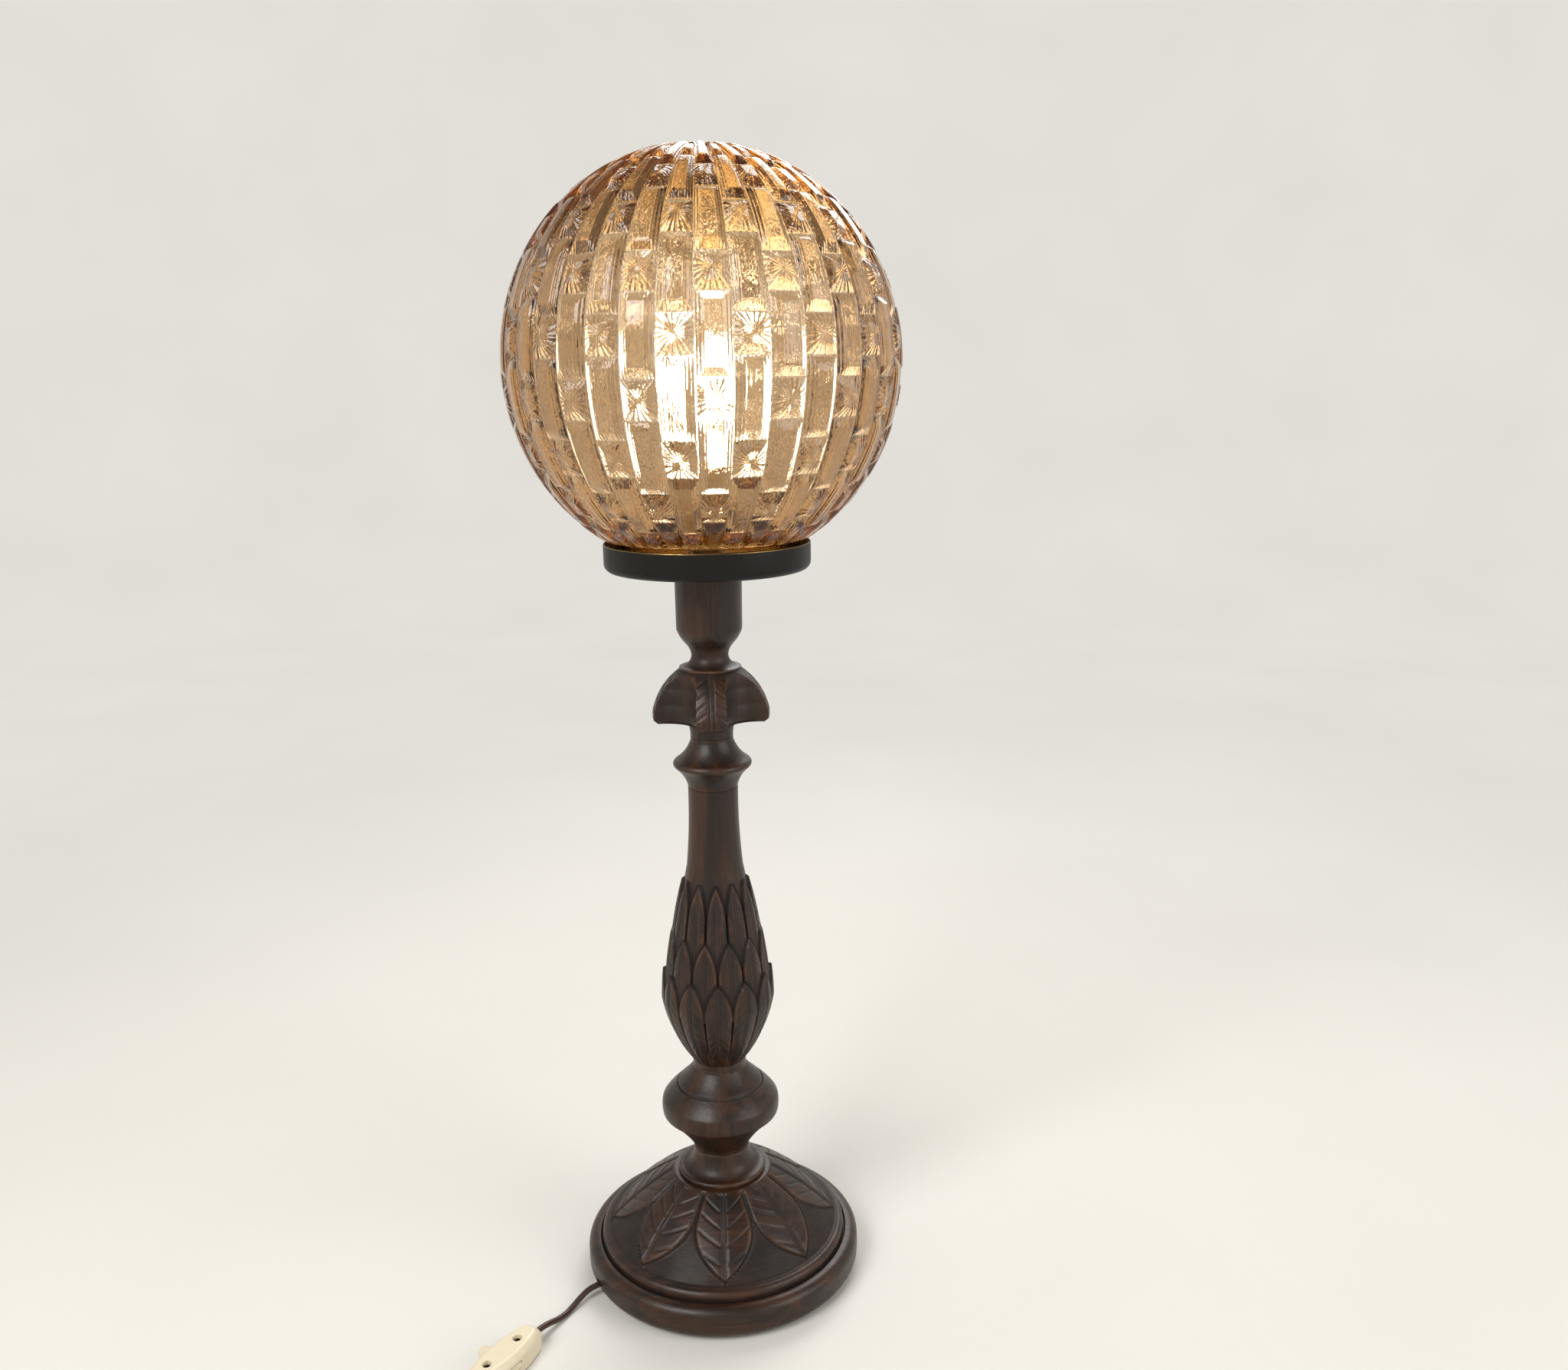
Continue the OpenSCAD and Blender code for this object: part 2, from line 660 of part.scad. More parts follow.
module screw_shell() color(brass) {
    inside = screw_d / 2 + screw_play;
    low = shell_z + 5;
    high = z_holder + holder_cap_h + holder_skirt_h - 4;
    turned(concat(
        [[11.6, shell_z], [16.4, shell_z], [16.4, shell_z + 0.4], [inside + 0.4, shell_z + 0.4]],
        thread_wave(inside + 0.4, low, high),
        reversed(thread_wave(inside, low, high)),
        [[inside, shell_z + 0.8], [11.6, shell_z + 0.4]]
    ));
}

module holder_skirt() color(ivory) {
    z = z_holder + holder_cap_h;
    top = z + holder_skirt_h;
    hole = screw_d / 2 + screw_play + screw_wave + 1;
    turned([
        [hole, shell_z + 0.4], [block_r - 0.2, shell_z + 0.4], [block_r - 0.2, z], [holder_r, z], [holder_r, z + 3],
        [holder_r - 1, z + 4.5], [holder_r - 1, top - 3], [holder_r - 0.2, top - 2], [holder_r - 0.2, top], [hole, top]
    ]);
}

// Bulb: a round glass on a screw cap
module bulb_contact() color(steel) translate([0, 0, bulb_z]) cylinder(h = 1.2, r = 4.8);

module bulb_insulator() color([0.1, 0.1, 0.12]) turned([
    [0, bulb_z + 1.2], [5.2, bulb_z + 1.2], [screw_d / 2 - 1.6, bulb_z + 3.8], [screw_d / 2 - 1.6, bulb_z + 6],
    [0, bulb_z + 6]
]);

module bulb_cap() color(steel) turned(concat(
    [[screw_d / 2 - 1.4, bulb_z + 3.8], [screw_d / 2 - 0.6, bulb_z + 3.8]],
    thread_wave(screw_d / 2, bulb_z + 5, bulb_z + bulb_cap_h - 4),
    [[screw_d / 2 + 0.4, bulb_z + bulb_cap_h - 3], [screw_d / 2 + 0.4, bulb_z + bulb_cap_h],
     [screw_d / 2 - 1.4, bulb_z + bulb_cap_h]]
));

// Outline of the bulb's glass, drawn in by t
function bulb_outline(t) =
    let (r = bulb_d / 2, c = bulb_z + bulb_l - r, stem = screw_d / 2 - 1.6 - t)
    concat(
        [[stem, bulb_z + bulb_cap_h - 8], [stem, bulb_z + bulb_cap_h + 0.5]],
        bow([bulb_neck_d / 2 - t, bulb_z + bulb_cap_h + 2], [(r - t) * cos(-25), c + (r - t) * sin(-25)], 1.5),
        [for (a = [-15:15:75]) [(r - t) * cos(a), c + (r - t) * sin(a)]],
        [[0, c + r - t]]
    );

module bulb_glass() color([0.97, 0.95, 0.90]) turned(concat(bulb_outline(0), reversed(bulb_outline(1))));

// Tube swept along points, with its cross-sections square to the way and their first side towards up
function way(p, i) =
    let (a = p[max(i - 1, 0)], b = p[min(i + 1, len(p) - 1)])
    (b - a) / norm(b - a);

module swept(points, r, sides, up) {
    n = len(points);
    polyhedron(
        points = [for (i = [0:n - 1])
            let (t = way(points, i), side = cross(t, up) / norm(cross(t, up)), top = cross(side, t))
            for (k = [0:sides - 1]) let (a = 360 * k / sides) points[i] + r * (cos(a) * side + sin(a) * top)],
        faces = concat(
            [[for (k = [0:sides - 1]) k]],
            [for (i = [0:n - 2]) for (k = [0:sides - 1])
                let (a = i * sides + k, b = i * sides + (k + 1) % sides)
                each [[a, a + sides, b], [b, a + sides, b + sides]]],
            [[for (k = [sides - 1:-1:0]) (n - 1) * sides + k]]
        )
    );
}

// Point at a distance out along the cord's exit from the foot
function at_exit(s, z) = [s * cos(exit_turn), s * sin(exit_turn), z];

// Point in the switch's own frame, along its length and across it
function at_switch(x, y, z) =
    [switch_at[0] + x * cos(switch_turn) - y * sin(switch_turn),
     switch_at[1] + x * sin(switch_turn) + y * cos(switch_turn), z];

// Cord inside the lamp: in through the foot, round a bend and up the tube
module inner_cord() color(brown) swept(
    concat(
        [for (s = [exit_s:-12:bend_r + 2]) at_exit(s, exit_z)],
        [for (a = [0:15:75]) at_exit(bend_r * (1 - sin(a)), exit_z + bend_r * (1 - cos(a)))],
        [at_exit(0, exit_z + bend_r), at_exit(0, z_gallery / 2), at_exit(0, tube_top - 1)]
    ), cord_r, 8, [-sin(exit_turn), cos(exit_turn), 0]);

// Two cores from the cord's end to the terminal screws
module core_wires() color([0.3, 0.35, 0.6]) for (s = [-1, 1]) swept([
    [s, 0, tube_top - 0.9], [s, 0, tube_top + 1], [s * 2.2, 0, tube_top + 3], [s * 5, 0, block_z - 4.8],
    [s * (terminal_s - 1.2), 0, block_z - 4], [s * terminal_s, 0, block_z - 3], [s * terminal_s, 0, block_z - 1.85]
], 0.8, 8, [0, 1, 0]);

// Cord from the foot to the switch
lead_route = concat(
    [at_exit(exit_s, exit_z), [-94, -44.4, 7.2], [-99.5, -49, 4.8], [-104.5, -55.5, 2.8], [-109, -62.5, 2.2]],
    [[-113.6, -69, 3.4], at_switch(45, 0, 5.6), at_switch(37, 0, 7.4), at_switch(31, 0, seam_z)],
    [at_switch(25, 0, seam_z)]
);
module cord_lead() color(brown) swept(lead_route, cord_r, 10, [0, 0, 1]);

// Coil: four layers that spiral in and out, each climb in the half turn where the spiral turns back
function smooth(t) = let (u = min(max(t, 0), 1)) u * u * (3 - 2 * u);
function coil_point(t) =
    let (layer = min(floor(t / coil_turns), 3),
         f = t - layer * coil_turns,
         r = coil_r + coil_pitch * (layer % 2 == 0 ? coil_turns - f : f),
         a = coil_start + 360 * t,
         climb = smooth((t - coil_turns) * 2 + 0.5) + smooth((t - 2 * coil_turns) * 2 + 0.5)
            + smooth((t - 3 * coil_turns) * 2 + 0.5))
    [coil_at[0] + r * cos(a), coil_at[1] + r * sin(a), coil_lift + cord_r + coil_pitch * climb];
coil_steps = round(coil_all * 24);
coil_loops = [for (i = [0:coil_steps]) coil_point(coil_all * i / coil_steps)];
function ray(p, q) = (q - p) / norm(q - p);
coil_in = coil_loops[0] - cord_d * ray(coil_loops[0], coil_loops[1]);
coil_out = coil_loops[coil_steps] + cord_d * ray(coil_loops[coil_steps - 1], coil_loops[coil_steps]);
coil_route = concat([coil_in], coil_loops, [coil_out]);

// Least gap between turns, measured on the points more than half a turn apart
function coil_gap() = min([for (i = [0:coil_steps - 12]) for (j = [i + 12:coil_steps])
    norm(coil_loops[i] - coil_loops[j])]) - cord_d;

module cord_coil() color(brown) {
    echo(least_gap_of_the_coil = coil_gap());
    swept(coil_route, cord_r, 6, [0, 0, 1]);
}

// Cord from the switch to the coil
tail_route = [
    at_switch(-25, 0, seam_z), at_switch(-31, 0, seam_z), at_switch(-37, 0, 6.6), at_switch(-44, 0, 4.4), coil_in
];
module cord_tail() color(brown) swept(tail_route, cord_r, 10, [0, 0, 1]);

// Cord from the coil down to the plug
end_route = [
    coil_out, [-130, -197.4, 15.6], [-121, -194.3, 12.6], [-112, -191.2, 9.2], [-104, -188.4, 7.2], plug_at
];
module cord_end() color(brown) swept(end_route, cord_r, 10, [0, 0, 1]);

// Strap round the coil
module coil_tie() color(black) {
    r0 = coil_r - cord_r - 0.8;
    r1 = coil_r + coil_turns * coil_pitch + cord_r + 0.8;
    top = coil_lift + cord_d + 3 * coil_pitch + 0.5;
    translate([coil_at[0], coil_at[1], 0]) rotate(30) translate([0, 3, 0]) rotate([90, 0, 0]) linear_extrude(6)
        difference() {
            translate([r0 - 0.8, 0]) square([r1 - r0 + 1.6, top + 0.8]);
            translate([r0, 0.8]) square([r1 - r0, top - 0.8]);
        }
}

module at_switch_place() translate([switch_at[0], switch_at[1], 0]) rotate(switch_turn) children();

// Outline of the switch seen from above, drawn in by t
module switch_outline(t) {
    side = 90;
    end = switch_l / 2 + 8;
    intersection() {
        translate([0, side - switch_w / 2]) circle(side - t, $fn = 128);
        translate([0, switch_w / 2 - side]) circle(side - t, $fn = 128);
        translate([-8, 0]) circle(end - t, $fn = 128);
        translate([8, 0]) circle(end - t, $fn = 128);
    }
}

// What both shells give way to: cord entries and the push bar's slot
module switch_passages() {
    translate([0, 0, seam_z]) rotate([0, 90, 0]) cylinder(h = switch_l + 10, r = cord_r + cord_play / 2, center = true);
    translate([0, 0, seam_z]) cube([bar_w + 2 * bar_play, switch_w + 10, bar_h + 2 * bar_play], center = true);
}

module switch_posts(z0, z1) for (s = [-1, 1])
    translate([s * switch_screw_gap / 2, 0, z0]) cylinder(h = z1 - z0, r = 3.6);

module switch_base() color(ivory) at_switch_place() difference() {
    linear_extrude(seam_z) switch_outline(0);
    difference() {
        translate([0, 0, switch_wall]) linear_extrude(seam_z) switch_outline(switch_wall);
        switch_posts(0, seam_z);
    }
    switch_passages();
    for (s = [-1, 1]) translate([s * switch_screw_gap / 2, 0, 2]) cylinder(h = switch_h, r = 1.45);
}

module switch_cover() color(ivory) at_switch_place() difference() {
    intersection() {
        translate([0, 0, seam_z]) linear_extrude(switch_h - seam_z) switch_outline(0);
        rotate([90, 0, 90]) translate([0, 0, -switch_l]) linear_extrude(2 * switch_l) polygon([
            [-switch_w / 2, 0], [switch_w / 2, 0], [switch_w / 2, switch_h - 4.5], [switch_w / 2 - 4.5, switch_h],
            [4.5 - switch_w / 2, switch_h], [-switch_w / 2, switch_h - 4.5]
        ]);
    }
    difference() {
        translate([0, 0, seam_z - 1]) linear_extrude(switch_h - 4 - seam_z + 1) switch_outline(switch_wall);
        switch_posts(0, switch_h);
    }
    switch_passages();
    for (s = [-1, 1]) translate([s * switch_screw_gap / 2, 0, 0]) {
        cylinder(h = switch_h, r = 1.7);
        translate([0, 0, switch_h - 5.5]) cylinder(h = 10, r = 2.8);
    }
}

module switch_screws() color(steel) at_switch_place() for (s = [-1, 1])
    translate([s * switch_screw_gap / 2, 0, 0]) {
        translate([0, 0, 2.5]) cylinder(h = switch_h - 8, r = 1.4);
        translate([0, 0, switch_h - 5.5]) cylinder(h = 1.8, r = 2.5);
    }

module switch_contacts() color(brass) at_switch_place() for (s = [-1, 1])
    translate([s > 0 ? bar_w / 2 + 1.5 : -bar_w / 2 - 19.5, 5, switch_wall]) cube([18, 0.8, 4]);

module push_bar() color(ivory) at_switch_place() {
    back = -switch_w / 2 - 0.5;
    front = switch_w / 2 + bar_out - bar_w / 2;
    translate([0, 0, seam_z - bar_h / 2]) linear_extrude(bar_h) union() {
        translate([-bar_w / 2, back]) square([bar_w, front - back]);
        translate([0, front]) circle(bar_w / 2);
    }
}

module at_plug_place() translate(plug_at) rotate(plug_turn) children();

// Plug: a flat body that narrows to the cord, and two round pins
module plug_body() color(brown) at_plug_place() difference() {
    intersection() {
        translate([0, 0, -plug_h / 2]) linear_extrude(plug_h) polygon([
            [0, -3.4], [10, -4.6], [12, -7], [plug_l - 14, -plug_w / 2 + 3], [plug_l - 10, -plug_w / 2],
            [plug_l, -plug_w / 2], [plug_l, plug_w / 2], [plug_l - 10, plug_w / 2], [plug_l - 14, plug_w / 2 - 3],
            [12, 7], [10, 4.6], [0, 3.4]
        ]);
        translate([0, plug_w, 0]) rotate([90, 0, 0]) linear_extrude(2 * plug_w) polygon([
            [0, -3.4], [10, -4.6], [plug_l - 16, -plug_h / 2], [plug_l, -plug_h / 2],
            [plug_l, plug_h / 2], [plug_l - 16, plug_h / 2], [10, 4.6], [0, 3.4]
        ]);
    }
    for (s = [-1, 1]) translate([plug_l - 8, s * pin_gap / 2, 0]) rotate([0, 90, 0])
        cylinder(h = 10, r = pin_d / 2 - 0.27);
}

module plug_pins() color(brass) at_plug_place() for (s = [-1, 1])
    translate([plug_l - 8, s * pin_gap / 2, 0]) rotate([0, 90, 0]) turned([
        [0, 0], [pin_d / 2 - 0.3, 0], [pin_d / 2 - 0.3, 8], [pin_d / 2, 8], [pin_d / 2, pin_l + 7],
        [pin_d / 2 - 0.6, pin_l + 7.8], [0, pin_l + 8]
    ]);

foot();
foot_felt();
cord_bush();
foot_washer();
foot_nut();
stem_tube();
spool();
knop();
vase();
neck_ring();
leaf_collar();
candle_cup();
gallery();
gallery_clips();
glass_gasket();
gallery_washer();
gallery_nut();
globe();
holder_cap();
holder_block();
holder_contact();
terminal_screws();
screw_shell();
holder_skirt();
core_wires();
inner_cord();
bulb_glass();
bulb_cap();
bulb_insulator();
bulb_contact();
cord_lead();
switch_base();
switch_cover();
switch_screws();
switch_contacts();
push_bar();
cord_tail();
cord_coil();
coil_tie();
cord_end();
plug_body();
plug_pins();
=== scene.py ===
"""Table lamp of carved dark wood with a lit globe of pressed amber glass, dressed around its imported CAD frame."""

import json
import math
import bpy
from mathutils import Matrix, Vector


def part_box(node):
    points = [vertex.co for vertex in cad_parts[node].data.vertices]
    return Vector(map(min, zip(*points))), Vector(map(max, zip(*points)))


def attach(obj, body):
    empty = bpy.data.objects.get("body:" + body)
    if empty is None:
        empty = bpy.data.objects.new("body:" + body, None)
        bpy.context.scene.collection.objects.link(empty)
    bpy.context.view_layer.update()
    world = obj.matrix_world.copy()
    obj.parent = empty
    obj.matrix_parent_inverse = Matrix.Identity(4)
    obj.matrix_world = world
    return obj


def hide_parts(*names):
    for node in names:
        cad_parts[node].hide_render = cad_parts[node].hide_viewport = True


bl_info = {
    "name": "Carved table lamp",
    "version": (1, 0, 0),
    "blender": (4, 5, 0),
    "location": "View3D > Sidebar > Table lamp",
    "description": "Builds the visible surfaces of a carved wooden table lamp around its CAD frame",
    "category": "Add Mesh",
}

import bmesh
import bpy
import numpy as np
from bpy.props import FloatProperty, FloatVectorProperty, PointerProperty
from mathutils import Matrix, Vector

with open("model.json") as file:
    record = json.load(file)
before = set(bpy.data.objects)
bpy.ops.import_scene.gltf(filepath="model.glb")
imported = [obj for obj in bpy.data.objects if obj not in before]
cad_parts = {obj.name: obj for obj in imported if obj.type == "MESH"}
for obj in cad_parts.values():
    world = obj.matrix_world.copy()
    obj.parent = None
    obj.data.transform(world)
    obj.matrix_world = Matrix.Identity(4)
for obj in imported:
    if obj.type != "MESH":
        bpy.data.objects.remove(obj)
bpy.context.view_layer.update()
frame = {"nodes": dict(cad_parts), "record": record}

# Outlines are written in millimetres, as (radius, height); meshes are in metres
MM = 0.001
TAU = 2 * math.pi


def corners(node):
    """Lowest and highest corner of a CAD node at rest, in millimetres."""
    return np.array([tuple(corner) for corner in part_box(node)]) / MM


# Heights at which the pieces of the stand meet: each one's top is the next one's seat
TOP = {name: corners(name)[1, 2] for name in (
    "foot_felt", "foot", "spool", "knop", "vase", "neck_ring", "leaf_collar", "candle_cup", "gallery", "globe")}
# Hole for the threaded tube
BORE = 5.25
# The glass ball: radius over its blocks, height of its middle, how much taller than wide it is; its neck's radius and
# height
GLOBE_R, GLOBE_MIDDLE, STRETCH, NECK_R, NECK_H = 125.0, 633.15, 1.035, 60.0, 17.5
# Its blocks: columns, turn of the first column, half a block and the start of half block 0 in degrees of latitude, the
# first half block, and the one at which the crown starts
COLUMNS, COLUMN_TURN, HALF_BLOCK, LAT_ZERO, FIRST_STEP, LAST_STEP = 36, -82.0, 5.27, 0.83, -12, 15
# Their bevels: the long ones as a share of half a column, the hips in degrees of latitude
BEVEL, HIP = 0.475, 2.63
# Turn of the hole where the cord leaves the foot
EXIT_TURN = 205.0
# Switch on the cord: its place on the table, its turn, and the height of the seam between its shells
SWITCH_AT, SWITCH_TURN, SEAM = (-144.0, -112.0), 55.0, 7.75
# Its screws, and how far along it they stand
SCREWS = {"switch_screw_front": 14, "switch_screw_back": -14}
# Plug: where the cord enters it, and its turn
PLUG_AT, PLUG_TURN = (-97.0, -186.0, 6.85), 19.0
# Coil of spare cord: centre, inner radius, pitch, layers, turns in each of them, first angle, lift from the table
COIL_AT, COIL_R, COIL_PITCH, COIL_LAYERS, COIL_TURNS, COIL_START, COIL_LIFT = \
    (-152.0, -176.0), 17.0, 4.5, 4, 2.85, 145.0, 1.2
# Strap round the coil: its angle on the coil, width, thickness, how far its end laps over its start, its room
STRAP_TURN, STRAP_WIDE, STRAP_THICK, STRAP_LAP, STRAP_ROOM = 30.0, 6.0, 0.8, 8.0, 0.4
# Farther than any piece reaches, for a ray that meets nothing
FAR = 1e3


def linear(hex_colour):
    """sRGB hex to linear light: c / 12.92 up to 0.04045, else ((c + 0.055) / 1.055) to the power 2.4."""
    c = np.array([int(hex_colour[i:i + 2], 16) for i in (1, 3, 5)]) / 255
    return tuple(float(v) for v in np.where(c <= 0.04045, c / 12.92, ((c + 0.055) / 1.055) ** 2.4))


def length(name, description, default):
    """A size in metres that a user may change."""
    return FloatProperty(name=name, description=description, default=default, min=0, precision=4, unit="LENGTH")


def colour(name, description, hex_colour):
    """A colour that a user may change."""
    return FloatVectorProperty(name=name, description=description, default=linear(hex_colour), size=3,
                               subtype="COLOR", min=0, max=1)


class LampSizes(bpy.types.PropertyGroup):
    """Sizes of what is carved and dressed; the main sizes come from the CAD frame."""
    foot_carving: length("Foot carving", "Depth of the leaves cut into the dome of the foot", 0.0016)
    leaf_crown: length("Leaf crown", "How far the middle of a leaf on the vase stands above its edges", 0.0011)
    leaf_seam: length("Leaf seam", "Width of the cut along a leaf's edge", 0.0009)
    leaf_point: length("Leaf point", "Length of the free point of a leaf on the vase", 0.024)
    turned_edge: length("Turned edge", "Rounding of worn edges on the turned pieces", 0.0009)
    glass_relief: length("Glass relief", "Height of the pressed blocks on the globe", 0.003)
    glass_wall: length("Glass wall", "Wall of the globe under its blocks", 0.0035)
    glass_edge: length("Glass edge", "Rounding of the blocks' edges, as fire polish leaves it", 0.0005)
    cord: length("Cord", "Diameter of the cord", 0.004)


class LampFinishes(bpy.types.PropertyGroup):
    """Colours of the lamp's materials."""
    wood_deep: colour("Wood, deep", "Dark bands of the stained wood", "#1F120A")
    wood_warm: colour("Wood, warm", "Lighter bands of the stained wood", "#402615")
    # This tone darkens the fibres of the grain, and is also the painted shade in the hollows of the carving
    wood_fibre_and_shade: colour("Wood, hollows", "Old wax and dust in the hollows of the carving", "#0F0805")
    wood_worn: colour("Wood, edges", "Wood where the stain has worn off", "#6A4324")
    metal_black: colour("Gallery", "Enamel of the gallery", "#100E0B")
    glass_tint: colour("Glass", "Tint that the amber glass gives to light through it", "#E6C98D")
    glass_stain: colour("Glass, stain", "Amber stain of the glass at its crown and its neck", "#FCE8B8")
    glow: colour("Glow", "Light of the bulb", "#FFF2E0")
    ivory: colour("Switch", "Moulded shells of the switch", "#E9DEC2")
    cord_brown: colour("Cord", "Sheath of the cord and the plug", "#2E1A12")
    felt_green: colour("Felt", "Felt under the foot", "#2C3326")
    floor: colour("Floor", "Floor and backdrop", "#E6E3DD")


def in_mm(context, *names):
    """Sizes from the panel, in millimetres."""
    return [getattr(context.scene.lamp_sizes, name) / MM for name in names]


# ---------------------------------------------------------------- outlines


def bow(p, q, sag, n=12):
    """Run from p to q that stands off the straight line, to its right, by 4 * sag * t * (1 - t)."""
    p, q = np.array(p, float), np.array(q, float)
    t = np.linspace(0, 1, n + 1)[:, None]
    d = q - p
    return p + t * d + 4 * sag * t * (1 - t) * np.array([d[1], -d[0]]) / np.hypot(*d)


def quarter(p, q, level, n=8):
    """Quarter of an ellipse from p to q, which leaves p level or else upright."""
    a = np.linspace(0, TAU / 4, n + 1)
    (r0, z0), (r1, z1) = p, q
    if level:
        return np.stack([r0 + (r1 - r0) * np.sin(a), z1 + (z0 - z1) * np.cos(a)], 1)
    return np.stack([r1 + (r0 - r1) * np.cos(a), z0 + (z1 - z0) * np.sin(a)], 1)


def outline(*runs):
    """Runs of points joined in one outline, without points that repeat."""
    points = np.vstack([np.atleast_2d(np.array(run, float)) for run in runs])
    return points[np.r_[True, np.hypot(*np.diff(points, axis=0).T) > 0.02]]


def eased(points, size, least=22):
    """Closed outline whose corners of more than `least` degrees become parabolas that start `size` before them."""
    a, b = np.roll(points, 1, 0) - points, np.roll(points, -1, 0) - points
    la, lb = np.hypot(*a.T), np.hypot(*b.T)
    turn = math.pi - np.arccos(np.clip((a * b).sum(1) / (la * lb), -1, 1))
    cut = np.where(turn > math.radians(least), np.minimum(size, 0.45 * np.minimum(la, lb)), 0)[:, None]
    start, end = points + a / la[:, None] * cut, points + b / lb[:, None] * cut
    t = np.array([0, 1 / 3, 2 / 3, 1])[None, :, None]
    arcs = (1 - t) ** 2 * start[:, None] + 2 * t * (1 - t) * points[:, None] + t ** 2 * end[:, None]
    return outline(arcs.reshape(-1, 2))


def smooth(x):
    """0 below 0, 1 above 1, and 3 x^2 - 2 x^3 between."""
    x = np.clip(x, 0, 1)
    return x * x * (3 - 2 * x)


def bell(x, at, width):
    """1 where x is `at`, less on both sides: exp of -((x - at) / width)^2."""
    return np.exp(-((x - at) / width) ** 2)


def crests(phase, power):
    """Crests at whole phases, and 0 around the halves: the cosine of the turn, not below 0, to a power."""
    return np.clip(np.cos(TAU * phase), 0, 1) ** power


def soft_least(a, b, width):
    """Least of a, b and 1, its corners rounded over `width`: the least, less 0.6 * width * ln of the sum of
    exp((least - x) / width)."""
    width = max(width, 1e-3)
    stack = np.stack(np.broadcast_arrays(a, b, np.ones(1)), 0)
    base = stack.min(0)
    return base - width * np.log(np.exp(-(stack - base) / width).sum(0)) * 0.6


def angles(n):
    """n even angles round a turn."""
    return np.arange(n) * TAU / n


def along_path(points):
    """Distance along a path at each of its points: the sum of the steps before it."""
    return np.r_[0, np.cumsum(np.linalg.norm(np.diff(points, axis=0), axis=1))]


def at_distance(rows, run, where):
    """Rows of values on a path, read off between its points at other distances along it."""
    return np.stack([np.interp(where, run, column) for column in rows.T], 1)


def wear_and_shade_of(points):
    """How hollow and how sharp an outline is at each point, as marks of 0 to 1: its turn per millimetre, averaged
    over 2 mm. The hollow mark paints shade into the wood, and the sharp one marks its worn edges."""
    d = np.roll(points, -1, 0) - points
    run = np.hypot(*d.T)
    heading = np.arctan2(d[:, 1], d[:, 0])
    turn = (heading - np.roll(heading, 1) + math.pi) % TAU - math.pi
    along = np.cumsum(run) - run
    bend = (bell(along[:, None], along, 2.0) * turn).sum(1) / 3.5
    return {"hollow": np.clip(-bend * 2.2, 0, 1)[:, None], "edge": np.clip(bend * 1.4 - 0.12, 0, 1)[:, None]}


def spun(r, angle, z):
    """Points at a radius, an angle and a height about the lamp's axis."""
    r, angle, z = np.broadcast_arrays(r, angle, z)
    return np.stack([r * np.cos(angle), r * np.sin(angle), z], -1)


def lathe(points, columns, push=0.0, radius=None):
    """Outline turned round the lamp's axis, each point moved out along the outline's normal by push. radius stands in
    for the outline's own, where it differs from column to column."""
    along = np.roll(points, -1, 0) - np.roll(points, 1, 0)
    normal = np.stack([along[:, 1], -along[:, 0]], 1) / np.maximum(np.hypot(*along.T), 1e-9)[:, None]
    radius = points[:, :1] if radius is None else radius
    return spun(radius + push * normal[:, :1], angles(columns), points[:, 1:] + push * normal[:, 1:])


# ---------------------------------------------------------------- meshes


def skin(name, grid, marks=None, rows_closed=False, sharp=30):
    """Four-sided faces over a grid of points in millimetres. Columns close on themselves, rows too where said;
    rows drawn together to a point become a pole. marks are values per point, for the materials."""
    rows, columns = grid.shape[:2]
    i = np.arange(rows if rows_closed else rows - 1)[:, None]
    j = np.arange(columns)[None, :]
    low, high, right = i * columns, (i + 1) % rows * columns, (j + 1) % columns
    faces = np.stack(np.broadcast_arrays(low + j, low + right, high + right, high + j), -1).reshape(-1, 4)
    mesh = bpy.data.meshes.new(name)
    mesh.from_pydata(grid.reshape(-1, 3) * MM, [], faces, shade_flat=False)
    for key, values in (marks or {}).items():
        layer = mesh.attributes.new(key, "FLOAT", "POINT")
        layer.data.foreach_set("value", np.broadcast_to(values, (rows, columns)).astype(np.float32).ravel())
    tidy = bmesh.new()
    tidy.from_mesh(mesh)
    bmesh.ops.remove_doubles(tidy, verts=tidy.verts, dist=2e-6)
    tidy.to_mesh(mesh)
    tidy.free()
    mesh.set_sharp_from_angle(angle=math.radians(sharp))
    obj = bpy.data.objects.new(name, mesh)
    bpy.context.scene.collection.objects.link(obj)
    return obj


def capped(grid):
    """Rows of a grid, with the first and the last closed by a point in their middle."""
    first, last = (np.repeat(row.mean(0)[None, None], len(row), 1) for row in (grid[0], grid[-1]))
    return np.concatenate([first, grid, last])


def dress(obj, body, slot, *nodes, finish=None):
    """Gives a piece its slot's finish or its own and the body it rides on, and hides the CAD nodes it stands for."""
    obj.data.materials.append(bpy.data.materials[finish or SLOT_FINISH[slot]])
    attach(obj, body)
    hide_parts(*nodes)
    return obj


def turned(node, columns, ease, *runs):
    """Wooden piece turned from the runs of its outer outline, with the tube's bore through it."""
    run = outline(*runs)
    points = eased(outline(run, [(BORE, run[-1][1]), (BORE, run[0][1])]), ease)
    obj = skin(node + "_turned", lathe(points, columns), wear_and_shade_of(points), rows_closed=True)
    return dress(obj, "stand", "wood", node)


# ---------------------------------------------------------------- materials


def add(tree, kind, sockets=None, **settings):
    """Adds a node; settings go to its properties. A socket takes a value, a colour of three parts, the output that
    feeds it, or a node, whose first output in use then feeds it."""
    node = tree.nodes.new("ShaderNode" + kind)
    for key, value in settings.items():
        setattr(node, key, value)
    for key, value in (sockets or {}).items():
        socket = node.inputs[key]
        if isinstance(value, bpy.types.Node):
            value = next(output for output in value.outputs if output.enabled)
        if isinstance(value, bpy.types.NodeSocket):
            tree.links.new(value, socket)
        else:
            socket.default_value = (*value, 1.0) if socket.type == "RGBA" else value
    return node


